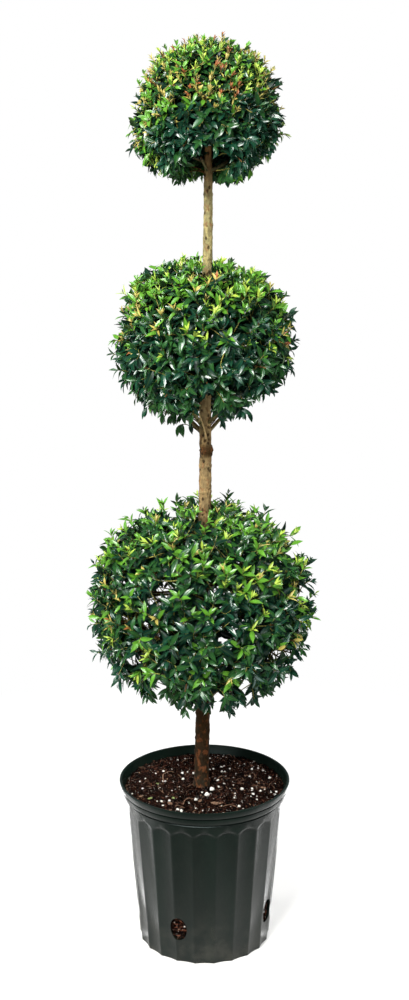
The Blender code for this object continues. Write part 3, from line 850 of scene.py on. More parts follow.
def close_finish(tree, colours, roughness, mirroring, bump, depth):
    """Ends a material in a Principled shader. Constant values go straight on its own sockets."""
    shader = add(tree, "BsdfPrincipled", Base_Color=colours, Roughness=roughness,
                 Specular_IOR_Level=mirroring,
                 Normal=add(tree, "Bump", Height=bump, Distance=depth))
    add(tree, "OutputMaterial", shader)


def plastic_finish(pot):
    """Black moulded plastic with a fine grain, a little dust and dried splashes by the foot. It
    mirrors less inside the lip."""
    material, tree = new_finish("pot_plastic")
    worn = mixed(tree, mottle(tree, Scale=9.0, Stretch=0.35, Low=0.45, High=0.75), pot.plastic,
                 tone(pot.plastic, 1.7))
    height = axes(tree)["Z"]
    dusty = spread(height, 0.0, 0.11, 0.42, 0.03) * mottle(tree, Scale=26.0, Low=0.42, High=0.74)
    faded = mixed(tree, dusty, worn, pot.dust)
    grain = mottle(tree, Scale=1500.0, Low=0.2, High=0.8) * 0.45
    wavy = mottle(tree, Scale=60.0, Stretch=0.5, Low=0.2, High=0.8)
    flat = vec("MULTIPLY", spot(tree), (1, 1, 0))
    face = height * LIP_FACE_SLOPE + (LIP_FACE_FOOT - LIP_FACE_SLOPE * (POT_HEIGHT - LIP_HEIGHT))
    outside = spread(vec("LENGTH", flat)["Value"] - face, -0.0005, 0.0005)
    below = spread(height, *LIP_SHADE, 1.0, 0.0)
    close_finish(
        tree, mixed(tree, speckle(tree, Scale=260.0, Size=0.10), faded, tone(pot.dust, 0.35)),
        spread(mottle(tree, Scale=34.0), 0.0, 1.0, 0.16, 0.22),
        calc("MAXIMUM", outside, below) * 0.38 + 0.06, grain + wavy, 0.00024,
    )
    return material


def mix_finish(mix):
    """Moist peat and fine bark."""
    material, tree = new_finish("potting_mix_finish")
    base = mixed(tree, mottle(tree, Scale=130.0, Low=0.45, High=0.8), mix.dark,
                 tone(mix.brown, 0.5))
    crumbs = mixed(tree, speckle(tree, Scale=420.0, Size=0.24), base, tone(mix.brown, 1.6))
    colours = mixed(tree, speckle(tree, Scale=610.0, Size=0.14), crumbs, tone(mix.white, 0.5))
    close_finish(tree, colours, 0.95, 0.0, mottle(tree, Scale=420.0, Low=0.2, High=0.8), 0.0012)
    return material


def bit_finish(name, dark, light, roughness, scale):
    """A loose bit of the mix, mottled between two shades."""
    material, tree = new_finish(name)
    colours = mixed(tree, mottle(tree, Scale=scale, Low=0.38, High=0.64), dark, light)
    fibre = mottle(tree, Scale=900.0, Low=0.2, High=0.8)
    close_finish(tree, colours, roughness, 0.04, fibre, 0.0004)
    return material


def bark_finish(name, wood, base, streak, flake, flakes):
    """Bark with long streaks, flakes that have peeled off and dark pits."""
    material, tree = new_finish(name)
    own = base(tree)
    streaks = mottle(tree, Scale=170.0, Stretch=0.22, Low=0.42, High=0.66) * 0.55
    light = mottle(tree, Scale=95.0, Stretch=0.5, Low=0.52, High=0.62)
    pale = mixed(tree, light, mixed(tree, streaks, own, streak),
                 mixed(tree, 1.0, own, (1.45, 1.4, 1.3), "MULTIPLY"))
    peeled = mottle(tree, Scale=120.0, Stretch=0.7, Low=0.54, High=0.60) * flakes
    pocked = mottle(tree, Scale=210.0, Stretch=0.8, Low=0.56, High=0.64) * 0.55
    worn = mixed(tree, pocked, mixed(tree, peeled, pale, flake), tone(wood.brown, 0.9))
    pits = speckle(tree, Scale=120.0, Stretch=0.7, Size=0.32)
    cracks = mottle(tree, Scale=320.0, Stretch=0.3, Low=0.3, High=0.7)
    close_finish(tree, mixed(tree, pits * 0.85, worn, tone(wood.brown, 0.45)), 0.78, 0.2,
                 cracks - pits, 0.0011)
    return material


def stem_finish(wood):
    """The stem: brown with red patches at its foot, tan between the balls, olive above, and
    red-brown again at its tip. Just under the middle and the top ball its bark is painted lighter:
    painted light that lifts the shade each ball casts there."""
    # Place along the stem, colour and factor. The light stops at 0.516 and 0.545, under the middle
    # ball, and from 0.875 to 0.92, under the top ball, are painted light against the shade of the
    # leaves above; the red-brown at 0.92 is partly the bark's own colour.
    stops = (
        (0.00, "olive", 0.03), (0.05, "brown", 0.28), (0.12, "brown", 0.70), (0.36, "olive", 0.5),
        (0.42, "tan", 0.9), (0.492, "tan", 1.0), (0.498, "brown", 1.2), (0.510, "brown", 1.6),
        (0.516, "tan", 1.15), (0.545, "tan", 1.5), (0.76, "olive", 1.0), (0.855, "olive", 1.0),
        (0.875, "tan", 1.25), (0.92, "brown", 5.5), (1.00, "brown", 1.0),
    )

    def by_height(tree):
        ramp = add(tree, "ValToRGB", spread(axes(tree)["Z"], STEM_FOOT, STEM_TIP))
        elements = ramp.node.color_ramp.elements
        while len(elements) < len(stops):
            elements.new(0.5)
        for element, (place, shade, factor) in zip(elements, stops):
            element.position = place
            element.color = (*tone(getattr(wood, shade), factor), 1.0)
        return ramp

    return bark_finish("stem_bark", wood, by_height, tone(wood.brown, 0.8), wood.red, 0.42)


def limb_finish(name, wood, shade, streak):
    """The bark of a bough, branch or twig."""
    return bark_finish(name, wood, lambda tree: mixed(tree, 0.0, shade, shade), streak,
                       tone(wood.red, 0.8), 0.25)


def leaf_finish(kind, shade, gloss, paleness, mirroring):
    """A glossy leaf with a paler midrib and underside, faint side veins, and leaves next to it
    a little lighter or darker."""
    material, tree = new_finish(f"{kind}_leaf")
    flat = add(tree, "SeparateXYZ", add(tree, "UVMap", uv_map="UVMap"))
    across = abs(flat["X"] - 0.5)
    varied = mixed(tree, mottle(tree, Scale=55.0, Low=0.30, High=0.70), tone(shade, 0.62),
                   tone(shade, 1.45))
    ribbed = mixed(tree, spread(across, 0.02, 0.075, 0.45, 0.0), varied,
                   (shade[0] + 0.03, shade[1] * 1.4 + 0.03, shade[2] + 0.004))
    pale = tuple((1 - paleness) * own + paleness * other
                 for own, other in zip(shade, UNDERSIDE))
    back = add(tree, "NewGeometry")["Backfacing"]
    wave = calc("SINE", (across * -0.9 + flat["Y"]) * 60.0)
    close_finish(tree, mixed(tree, back, ribbed, pale), gloss, mirroring,
                 wave * 0.012 + spread(across, 0.0, 0.07, -0.4, 0.0), 0.0006)
    return material


def floor_finish(stage):
    """The pale floor, which goes over into the white of the room with distance. It throws less
    light back up than it shows, as a floor in a larger room does."""
    material, tree = new_finish("floor_paint")
    where, side = spot(tree), axes(tree)
    path = add(tree, "LightPath")
    seen, mirror = path["Is_Camera_Ray"], path["Is_Glossy_Ray"]
    distance = vec("LENGTH", where)["Value"]
    far = spread(distance, *FLOOR_FADE)
    by_foot = mixed(tree, spread(distance, 0.15, 0.7), tone(stage.floor, 0.30),
                    tone(stage.floor, 0.05))
    thrown = mixed(tree, spread(side["Y"], 0.4, -0.1) * mirror, tone(stage.floor, stage.bounce),
                   by_foot)
    paint = mixed(tree, seen, thrown, tone(stage.floor, 1 - FLOOR_GLOW))
    azimuth = calc("ARCTAN2", abs(side["X"]), side["Y"])
    rays = FLOOR_SHEEN
    for middle, half, strength in FLOOR_RAYS:
        rays = spread(abs(azimuth - middle), half, 1.8 * half, strength, 0.0) + rays
    incoming = add(tree, "NewGeometry")["Incoming"]
    run = vec("SCALE", incoming, Scale=path["Ray_Length"])
    start = add(tree, "SeparateXYZ", vec("ADD", where, run))["Y"]
    mirrored = (rays * spread(start, 0.0, 0.03, 1.0, 0.16) * spread(side["Y"], -0.4, -0.1)
                * spread(distance, 1.6, 3.0, 1.0, 0.0))
    shown = spread(far, 0.0, 1.0, FLOOR_GLOW, 1.0) * seen
    glow = (mirror * mirrored + far * FAR_GLOW) * calc("SUBTRACT", 1.0, seen) + shown
    shader = add(tree, "BsdfPrincipled", Roughness=0.9, Specular_IOR_Level=0.0,
                 Base_Color=mixed(tree, far, paint, (0, 0, 0)), Emission_Strength=glow,
                 Emission_Color=(1.0, 1.0, 1.0, 1.0))
    add(tree, "OutputMaterial", shader)
    return material


def pale_room(stage):
    """White as the camera sees it. As light it is bright overhead and behind, and dim in front, so
    that glossy leaves and plastic show dark beside their highlights."""
    world = bpy.data.worlds.new("pale_room")
    world.use_nodes = True
    tree = world.node_tree
    tree.nodes.clear()
    where = add(tree, "TexCoord")
    side = add(tree, "SeparateXYZ", where)
    path = add(tree, "LightPath")
    seen, mirror = path["Is_Camera_Ray"], path["Is_Glossy_Ray"]
    above, behind, around_all = ROOM_LIGHT
    facing = vec("DOT_PRODUCT", where, SHEEN_FROM)["Value"]
    light = (spread(side["Z"], 0.1, 1.0, 0.0, above) + spread(side["Y"], 0.1, 1.0, 0.0, behind)
             + around_all + spread(facing, *SHEEN_EDGE, 0.0, stage.sheen) * mirror)
    strength = add(tree, "Mix", Factor_Float=seen, A_Float=light * stage.sky, B_Float=1.0)
    cool = mixed(tree, mirror, (1.0, 1.0, 1.0), SHEEN_TINT)
    background = add(tree, "Background", Color=cool, Strength=strength)
    add(tree, "OutputWorld", background)
    return world


# ---------------------------------------------------------------- building


def settings():
    """The sizes and colours of this plant."""
    return bpy.context.scene.topiary


def set_up(name, data):
    """A new object in the scene."""
    made = bpy.data.objects.new(name, data)
    bpy.context.scene.collection.objects.link(made)
    return made


def add_piece(name, mesh, slot, *nodes):
    """A finished piece that rides on the plant and stands for these nodes."""
    if name in bpy.data.objects:
        bpy.data.objects.remove(bpy.data.objects[name])
    mesh.name = name
    piece = set_up(name, mesh)
    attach(piece, BODY)
    if nodes:
        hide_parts(*nodes)


def grown(mesh, name, build, **values):
    """The plain mesh that a Geometry Nodes group makes of this one."""
    source = set_up("growing", mesh)
    modifier = source.modifiers.new("grow", "NODES")
    modifier.node_group = tree = kept_group(name, build)
    for item in tree.interface.items_tree:
        key = item.name.replace(" ", "_")
        if item.item_type == "SOCKET" and item.in_out == "INPUT" and key in values:
            modifier[item.identifier] = values[key]
    graph = bpy.context.evaluated_depsgraph_get()
    made = bpy.data.meshes.new_from_object(
        source.evaluated_get(graph), preserve_all_data_layers=True, depsgraph=graph
    )
    bpy.data.objects.remove(source)
    bpy.data.meshes.remove(mesh)
    return made


def forms_of(name, meshes):
    """A collection outside the scene that holds one object for each mesh, in order."""
    home = bpy.data.collections.new(name)
    for i, mesh in enumerate(meshes):
        home.objects.link(bpy.data.objects.new(f"{name}_{i:02d}", mesh))
    return home


def drop_forms(home):
    """Removes such a collection."""
    for item in list(home.objects):
        bpy.data.meshes.remove(item.data)
    bpy.data.collections.remove(home)


def settled(shape, name):
    """The plain mesh of a shape under construction."""
    made = bpy.data.meshes.new(name)
    shape.to_mesh(made)
    shape.free()
    return made


def hold(mesh, name, kind, values):
    """Gives each point of a mesh a value."""
    mesh.attributes.new(name, kind, "POINT").data.foreach_set("value", values)


def around(angle, radius, height):
    """A point at an azimuth counted from the front towards the right."""
    return Vector((radius * math.sin(angle), -radius * math.cos(angle), height))


def wall_radius(height):
    """The pot's wall between two flutes."""
    return FOOT_RADIUS + WALL_SLOPE * height


def inner_radius(height):
    """The plain inside of the wall."""
    return wall_radius(height) - settings().pot.flute_depth - WALL


def flute_depth(height, across):
    """How far the wall is hollowed, across one flute from -1 to 1, under its arched top."""
    arch = FLUTE_TOP - FLUTE_ARCH * across**2
    rise = max(0.0, min(1.0, (arch - height) / FLUTE_LEDGE))
    return settings().pot.flute_depth * (1 - across**2) * rise


def rounded(corner, before, after, size):
    """Three points that round a corner of an outline."""
    corner, before, after = (Vector(point) for point in (corner, before, after))
    into = corner + (before - corner).normalized() * size
    out = corner + (after - corner).normalized() * size
    return [into, corner.lerp((into + out) / 2, 0.45), out]


def pot_outline(across):
    """(radius, height) from the middle of the underside, up the wall, over the lip and down
    inside to the middle of the floor."""
    lip_foot, waist = POT_HEIGHT - LIP_HEIGHT, POT_HEIGHT - LIP_WAIST
    ledge_foot = FLUTE_TOP - FLUTE_ARCH - FLUTE_LEDGE
    levels = [*WALL_LEVELS, *(ledge_foot + (FLUTE_TOP - ledge_foot) * i / LEDGE_LEVELS
                              for i in range(LEDGE_LEVELS + 1))]
    wall = [(wall_radius(height) - flute_depth(height, across), height) for height in levels]
    foot = (wall_radius(0) - flute_depth(0, across), 0)
    neck = (wall_radius(lip_foot), lip_foot + LIP_EDGE)
    lip = (LIP_FOOT_RADIUS, lip_foot)
    low_waist = (LIP_WAIST_RADIUS - LIP_STEP / 2, waist - 4 * LIP_STEP)
    groove = [(LIP_WAIST_RADIUS - LIP_GROOVE, waist - part * LIP_STEP) for part in (3.8, 0.4)]
    high_waist = (LIP_WAIST_RADIUS + LIP_STEP, waist)
    bead = [(wall_radius(BEAD_HEIGHT + up * BEAD_RISE) + out * BEAD_RISE,
             BEAD_HEIGHT + up * BEAD_RISE)
            for up, out in ((-1, 0), (-0.5, 0.5), (0, 1), (1, 0.5), (1, 0))]
    rim, rim_inside = (RIM_RADIUS, POT_HEIGHT), (RIM_RADIUS - LIP_WIDTH, POT_HEIGHT)
    inside = (LIP_WAIST_RADIUS - LIP_WIDTH, waist)
    inner = [(inner_radius(height), height) for height in (lip_foot, 0.2, 0.1)]
    heel = (inner_radius(FLOOR), FLOOR)
    return [Vector(point) for point in (
        (0, 0), *rounded(foot, (0, 0), wall[0], LIP_EDGE), *wall, *bead, neck,
        *rounded(lip, neck, low_waist, LIP_STEP),
        *rounded(low_waist, lip, groove[0], LIP_STEP / 2), *groove,
        *rounded(high_waist, groove[1], rim, LIP_STEP / 2),
        *rounded(rim, high_waist, rim_inside, RIM_EDGE),
        *rounded(rim_inside, rim, inside, RIM_EDGE), inside, *inner,
        *rounded(heel, inner[-1], (0, FLOOR), LIP_EDGE), (0, FLOOR),
    )]


def panel_mesh(count):
    """One panel of the pot: a flute's width of wall, lip and floor."""
    shape, columns = bmesh.new(), []
    for i in range(FLUTE_SIDES + 1):
        across = 2 * i / FLUTE_SIDES - 1
        turn = 2 * math.pi / count * across / 2
        columns.append([shape.verts.new(around(turn, *point)) for point in pot_outline(across)])
    for left, right in zip(columns, columns[1:]):
        for i in range(len(left) - 1):
            shape.faces.new((left[i], right[i], right[i + 1], left[i + 1]))
    bmesh.ops.remove_doubles(shape, verts=shape.verts, dist=SAME_POINT)
    return settled(shape, "panel")


def build_pot():
    """The pot's mesh with crisp ledges and smooth flutes."""
    pot = settings().pot
    mesh = grown(
        panel_mesh(pot.flutes), "pot", pot_tree, Panels=pot.flutes, Drains=pot.drains,
        First_Drain=DRAIN_FIRST, Material=plastic_finish(pot),
        Drain_Size=(pot.drain_width, pot.drain_height, DRAIN_CUT),
        Drain_Place=(0, -wall_radius(pot.drain_level), pot.drain_level),
    )
    mesh.shade_smooth()
    mesh.set_sharp_from_angle(angle=CRISP_ANGLE)
    return mesh


def lip_inside(height):
    """The radius inside the lower half of the lip, which flares out above the wall."""
    low, high = POT_HEIGHT - LIP_HEIGHT, POT_HEIGHT - LIP_WAIST
    rise = (height - low) / (high - low)
    return inner_radius(low) + (LIP_WAIST_RADIUS - LIP_WIDTH - inner_radius(low)) * rise


def mix_height(radius, angle):
    """The heaped surface: highest by the stem, uneven all over."""
    wall = lip_inside(MIX_AT_WALL)
    out = max(0.0, (radius - MIX_FLAT_RADIUS) / (wall - MIX_FLAT_RADIUS))
    mound = MIX_AT_STEM + (MIX_AT_WALL - MIX_AT_STEM) * min(1.0, out) ** MIX_MOUND_POWER
    place = around(angle, radius, 0)
    rough = sum(part * noise.noise(place * scale) for scale, part in MIX_ROUGHNESS)
    return mound + settings().mix.lump * rough


def by_drain(angle):
    """True where an azimuth falls within a drain hole."""
    pot = settings().pot
    apart = 2 * math.pi / pot.drains
    off = (angle - DRAIN_FIRST + apart / 2) % apart - apart / 2
    return abs(off) * wall_radius(pot.drain_level) < pot.drain_width * DRAIN_SHARE


def mix_mesh():
    """The whole body of mix: its uneven top, its side and its flat foot. 'loose' marks the top and
    the side by the drain holes, where bits lie."""
    pot = settings().pot
    wall = lip_inside(MIX_AT_WALL) - MIX_CLEARANCE
    turns = [2 * math.pi * j / MIX_SPOKES for j in range(MIX_SPOKES)]
    rings = [[around(turn, wall * i / MIX_RINGS, mix_height(wall * i / MIX_RINGS, turn))
              for turn in turns] for i in range(1, MIX_RINGS + 1)]
    low, high = (pot.drain_level + side * pot.drain_height / 2 for side in (-1, 1))
    rings += [[around(turn, inner_radius(height) - MIX_CLEARANCE, height) for turn in turns]
              for height in (POT_HEIGHT - LIP_HEIGHT, high, low, FLOOR + MIX_CLEARANCE)]
    shape = bmesh.new()
    loose = shape.faces.layers.float.new("loose")
    crown = shape.verts.new((0, 0, mix_height(0, 0)))
    grid = [[shape.verts.new(point) for point in ring] for ring in rings]
    for j in range(MIX_SPOKES):
        following = (j + 1) % MIX_SPOKES
        shape.faces.new((crown, grid[0][j], grid[0][following]))[loose] = 1.0
        for i, (inner, outer) in enumerate(zip(grid, grid[1:])):
            face = shape.faces.new((inner[j], outer[j], outer[following], inner[following]))
            at_drain = (low < face.calc_center_median().z < high
                        and by_drain(turns[j] + math.pi / MIX_SPOKES))
            face[loose] = 1.0 if i < MIX_RINGS - 1 else DRAIN_LOOSE * at_drain
    shape.faces.new(reversed(grid[-1]))
    made = settled(shape, "mix")
    made.shade_smooth()
    return made


def chip_meshes():
    """Flat broken chips of bark, one unit long, of a few faces each."""
    chance, made = random.Random(3), []
    for _ in range(7):
        shape = bmesh.new()
        bmesh.ops.create_icosphere(shape, subdivisions=1, radius=0.5)
        wide, thick = chance.uniform(0.30, 0.75), chance.uniform(0.12, 0.34)
        for vertex in shape.verts:
            vertex.co.x *= chance.uniform(0.8, 1.1)
            vertex.co.y *= wide * chance.uniform(0.7, 1.25)
            vertex.co.z *= thick * chance.uniform(0.6, 1.3)
        made.append(settled(shape, "chip"))
    return made


def grain_meshes():
    """Popped, knobbly perlite grains, one unit across."""
    chance, made = random.Random(9), []
    for _ in range(4):
        shape = bmesh.new()
        bmesh.ops.create_icosphere(shape, subdivisions=2, radius=0.5)
        shift = Vector((chance.uniform(0, 9), 0, 0))
        for vertex in shape.verts:
            vertex.co *= 1 + 0.5 * noise.noise(vertex.co * 3.2 + shift)
            vertex.co.z *= 0.8
        made.append(settled(shape, "grain"))
        made[-1].shade_smooth()
    return made


def fibre_meshes():
    """Thin bent strips, one unit long."""
    chance, made, steps = random.Random(17), [], 6
    for _ in range(5):
        bend, side = chance.uniform(0.08, 0.28), chance.uniform(-0.15, 0.15)
        half = chance.uniform(0.012, 0.030)
        verts, faces = [], []
        for i in range(steps + 1):
            bow = math.sin(math.pi * (i / steps))
            x, y, z = i / steps - 0.5, side * bow, bend * bow - bend * 0.4
            verts += [(x, y - half, z), (x, y + half, z), (x, y, z + half)]
        for a in range(0, 3 * steps, 3):
            faces += [(a + i, a + (i + 1) % 3, a + 3 + (i + 1) % 3, a + 3 + i) for i in range(3)]
        faces += [(2, 1, 0), tuple(range(3 * steps, 3 * steps + 3))]
        made.append(bpy.data.meshes.new("fibre"))
        made[-1].from_pydata(verts, [], faces)
    return made


def strewn(bits, density, smallest, largest, skew, slant, seed, material):
    """Bits of one kind lying on the mix."""
    home = forms_of("bits", bits)
    mesh = grown(mix_mesh(), "strewn", scatter_tree, Bits=home, Density=float(density),
                 Smallest=smallest, Largest=largest, Skew=skew, Slant=slant, Seed=seed,
                 Material=material)
    drop_forms(home)
    return mesh


def joined(placed, material):
    """One mesh of bits, each set by its matrix."""
    shape = bmesh.new()
    for bit, place in placed:
        known = len(shape.verts)
        shape.from_mesh(bit)
        shape.verts.ensure_lookup_table()
        bmesh.ops.transform(shape, matrix=place, verts=shape.verts[known:])
    made = settled(shape, "joined")
    made.materials.append(material)
    return made


def laid(bit, places, material):
    """Larger bits laid one by one on the mix: (x, y, size, turn in degrees)."""
    placed = []
    for x, y, size, turn in places:
        level = mix_height(math.hypot(x, y), math.atan2(x, -y)) + size * LAID_LIFT
        place = Matrix.Translation((x, y, level)) @ Matrix.Rotation(math.radians(turn), 4, "Z")
        placed.append((bit, place @ Matrix.Scale(size, 4)))
    return joined(placed, material)


def drain_chips(bits, material):
    """Slivers of bark that lie against the wall behind each drain hole."""
    pot, chance, placed = settings().pot, random.Random(29), []
    aside, up = SLIVER_SPREAD
    for i in range(pot.drains * DRAIN_CHIPS):
        level = pot.drain_level + pot.drain_height * chance.uniform(-up, up)
        turn = DRAIN_FIRST + i // DRAIN_CHIPS * 2 * math.pi / pot.drains
        turn += chance.uniform(-aside, aside) * pot.drain_width / wall_radius(level)
        place = Matrix.Translation(around(turn, inner_radius(level) - MIX_CLEARANCE, level))
        tilt = Matrix.Rotation(chance.uniform(-SLIVER_TILT, SLIVER_TILT), 4, "Y")
        stance = Matrix.Rotation(turn, 4, "Z") @ tilt
        size = Matrix.Diagonal((chance.uniform(*SLIVER_LENGTH), *SLIVER_SECTION, 1))
        placed.append((bits[i % len(bits)], place @ stance @ size))
    return joined(placed, material)


def stem_centre(height):
    """The stem leans a little and bends gently, but stands upright where it meets the mix."""
    risen = max(0.0, height - STEM_FOOT - STEM_UPRIGHT)
    turn = 2 * math.pi * risen / STEM_BEND_LENGTH
    bend = STEM_BEND * min(1.0, risen / STEM_BEND_ONSET)
    return Vector((
        STEM_OFFSET + STEM_LEAN * risen + bend * math.sin(turn),
        bend * math.cos(turn * STEM_SIDE_RATE) - STEM_BEND,
        height,
    ))


def stem_radius(height):
    """Even taper, quicker inside the top ball, with a flare at the foot and the swollen scar
    under the middle ball."""
    risen = height - STEM_FOOT
    radius = STEM_RADIUS * (1 - (risen / STEM_TAPER_LENGTH) ** STEM_TAPER_POWER)
    last = max(0.0, 1 - (STEM_TIP - height) / STEM_END_LENGTH)
    radius *= 1 - (1 - STEM_END_SHARE) * last
    radius += FLARE_RISE * math.exp(-risen / FLARE_HEIGHT)
    away = (height - SCAR_HEIGHT) / SCAR_HALF
    return radius + SCAR_RISE * math.exp(-(away**4))


def stem_line():
    """The stem's axis and radii, with the rings of old leaf joints and the scar swollen to one
    side."""
    chance, rings, height = random.Random(41), [], LOWEST_RING
    while height < STEM_TIP:
        rings.append((height, chance.uniform(*RING_RISE)))
        height += chance.uniform(*RING_STEP)
    count = round((STEM_TIP - STEM_FOOT) / STEM_STEP)
    line, radii = [], []
    for i in range(count + 1):
        height = STEM_FOOT + (STEM_TIP - STEM_FOOT) * i / count
        swell = sum(rise * math.exp(-(((height - ring) / KNUCKLE_HALF) ** 2))
                    for ring, rise in rings if abs(height - ring) < 4 * KNUCKLE_HALF)
        scar = SCAR_RISE * math.exp(-(((height - SCAR_HEIGHT) / SCAR_HALF) ** 4))
        grooved = 1 + SCAR_GROOVE * math.cos(2 * math.pi * (height - SCAR_HEIGHT) / SCAR_HALF)
        radii.append(stem_radius(height) + swell - scar * (1 - SCAR_SIDE * grooved))
        line.append(stem_centre(height) + Vector((scar * SCAR_SIDE, 0, 0)))
    return line, radii


def wood(lines, sides, material, relief=0.0, pits=0.0, grain=120.0, lumps=0.0):
    """Wood swept along open lines, each a pair of points and radii."""
    points, edges, thickness = [], [], []
    for line, radii in lines:
        first = len(points)
        points += [tuple(point) for point in line]
        thickness += radii
        edges += [(first + i, first + i + 1) for i in range(len(line) - 1)]
    mesh = bpy.data.meshes.new("lines")
    mesh.from_pydata(points, edges, [])
    hold(mesh, "thickness", "FLOAT", thickness)
    return grown(mesh, "wood", limb_tree, Sides=sides, Relief=relief, Pits=pits, Grain=grain,
                 Lumps=lumps, Material=material)


def outline(ball, way):
    """How far the clipped face lies from the ball's centre: a sphere with squarer shoulders and
    three low lobes round its sides."""
    flat = math.hypot(way.x, way.y)
    square = (flat**SQUARENESS + abs(way.z) ** SQUARENESS) ** (-1 / SQUARENESS)
    upper = SQUARENESS_BELOW + (1 - SQUARENESS_BELOW) * max(0.0, way.z)
    lobes = math.sin(LOBE_COUNT * math.atan2(way.y, way.x) + ball["seed"])
    return ball["radius"] * (1 + (square - 1) * upper) * (1 + LOBE_RISE * lobes * flat)


def spiral(count, seed, opening):
    """(number, direction, reach) of shoots spread evenly over a ball by the golden angle. The
    underside is left open round the stem."""
    chance = random.Random(seed)
    for i in range(count):
        rise = 1 - 2 * (i + 0.5) / count + chance.uniform(-0.5, 0.5) / count
        azimuth = i * GOLDEN_ANGLE + chance.uniform(-SHOOT_STRAY, SHOOT_STRAY)
        reach = chance.uniform(SHORTEST_REACH, 1)
        if is_stray(i):
            reach = STRAY_REACH
        if rise >= -opening:
            flat = math.sqrt(1 - min(1, rise * rise))
            yield i, Vector((flat * math.cos(azimuth), flat * math.sin(azimuth), rise)), reach


def is_stray(number):
    """True for the few shoots that the shears missed."""
    return number % STRAY_EVERY == STRAY_EVERY // 2


def eased(value, low, high):
    """A smooth rise from 0 to 1 between two limits."""
    part = max(0.0, min(1.0, (value - low) / (high - low)))
    return part * part * (3 - 2 * part)


def heading_of(way, upright=0.0, droop=0.0):
    """A shoot's direction: outwards, turned up more the higher it stands, and drooping low down."""
    raised = HEADING_LIFT * (way.z + HEADING_LEVEL)
    raised += upright * eased(way.z, UPRIGHT_FROM, UPRIGHT_FULL) - droop * eased(-way.z, 0.1, 0.7)
    return (way + Vector((0, 0, raised))).normalized()


def curve(start, leaving, arriving, end, steps):
    """Points on a smooth path that leaves start and reaches end in the given directions."""
    reach = (end - start).length / 3
    first, last = start + leaving * reach, end - arriving * reach
    parts = [(i / (steps - 1), 1 - i / (steps - 1)) for i in range(steps)]
    return [u**3 * start + 3 * u * u * t * first + 3 * u * t * t * last + t**3 * end
            for t, u in parts]


def tapered(thick, thin, count):
    """Radii that fall evenly."""
    return [thick + (thin - thick) * i / (count - 1) for i in range(count)]


def bough_lines(ball):
    """Points and radii of the ball's boughs, which rise from the stem in a spiral."""
    centre, size, count = stem_centre(ball["height"]), ball["radius"], ball["boughs"]
    found = []
    for i in range(count):
        azimuth = ball["bough_turn"] + i * 2 * math.pi / count
        start = stem_centre(centre.z + size * (ball["bough_start"] + BOUGH_START_STEP * (i % 3)))
        out = Vector((math.cos(azimuth), math.sin(azimuth), 0))
        end = centre + out * (size * BOUGH_REACH)
        end.z += size * BOUGH_END
        parts = [step / (BOUGH_STEPS - 1) for step in range(BOUGH_STEPS)]
        points = [start.lerp(end, part) + out * (size * BOUGH_SAG * math.sin(math.pi * part))
                  for part in parts]
        thick = stem_radius(start.z) * (BOUGH_RADIUS_SHARE - BOUGH_RADIUS_STEP * i)
        found.append((points, tapered(thick, thick * BOUGH_TIP_SHARE, BOUGH_STEPS)))
    return found


def parted_boughs(name, ball):
    """(node, part that the node holds, part that grows on inside the ball) of each bough."""
    for i, (line, radii) in enumerate(bough_lines(ball)):
        node = f"{name}_bough_{i + 1}"
        low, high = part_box(node)
        held = [k for k, point in enumerate(line)
                if all(low[axis] - radii[0] <= point[axis] <= high[axis] + radii[0]
                       for axis in range(3))]
        last = max([2, *held])
        yield node, (line[: last + 1], radii[: last + 1]), (line[last:], radii[last:])


def branches_of(ball):
    """The source's shoots, each grown on from the nearest limb below it."""
    centre, size = stem_centre(ball["height"]), ball["radius"]
    limbs = [limb for line, radii in bough_lines(ball)
             for limb in list(zip(line, radii))[BOUGH_STEPS // 3:]]
    height, top = (centre.z + size * part for part in LIMB_SPAN)
    while height < min(top, STEM_TIP):
        limbs.append((stem_centre(height), stem_radius(height)))
        height += LIMB_STEP
    found = []
    for _, way, reach in spiral(ball["shoots"], ball["seed"], OPEN_UNDERSIDE):
        heading = heading_of(way)
        tip = centre + way * (clipped(ball, way) * reach * BRANCH_REACH)
        root = centre + way * (size * CORE_SHARE * TWIG_ROOT_SHARE)
        start, radius = min(limbs, key=lambda limb: (root - limb[0]).length
                            + CLIMB_COST * max(0, limb[0].z - root.z))
        line = curve(start, (root - start).normalized(), heading, tip, BRANCH_STEPS)
        radii = tapered(min(BRANCH_THICK, radius * LIMB_SHARE), BRANCH_THIN, BRANCH_STEPS)
        found.append((way, line, radii, heading))
    return found


def kind_of(ball, way, chance):
    """The kind of leaf that a shoot's tip bears: a placed tint, or one drawn for its height, in
    drifts round the ball."""
    azimuth = math.atan2(way.x, -way.y)
    lift = math.asin(max(-1, min(1, way.z)))
    for kind, degrees, raised in ball["tints"]:
        across = (azimuth - math.radians(degrees)) * math.cos(lift)
        if math.hypot(across, lift - math.radians(raised)) * ball["radius"] < TINT_REACH:
            return kind if chance.random() < TINT_CHANCE else "fresh"
    drift = noise.noise(way * DRIFT_SCALE + Vector((ball["seed"], 0, 0)))
    height = way.z + DRIFT_SHARE * drift + chance.uniform(-AGE_STRAY, AGE_STRAY)
    return chance.choice(next(kinds for least, kinds in ball["ages"] if height > least))


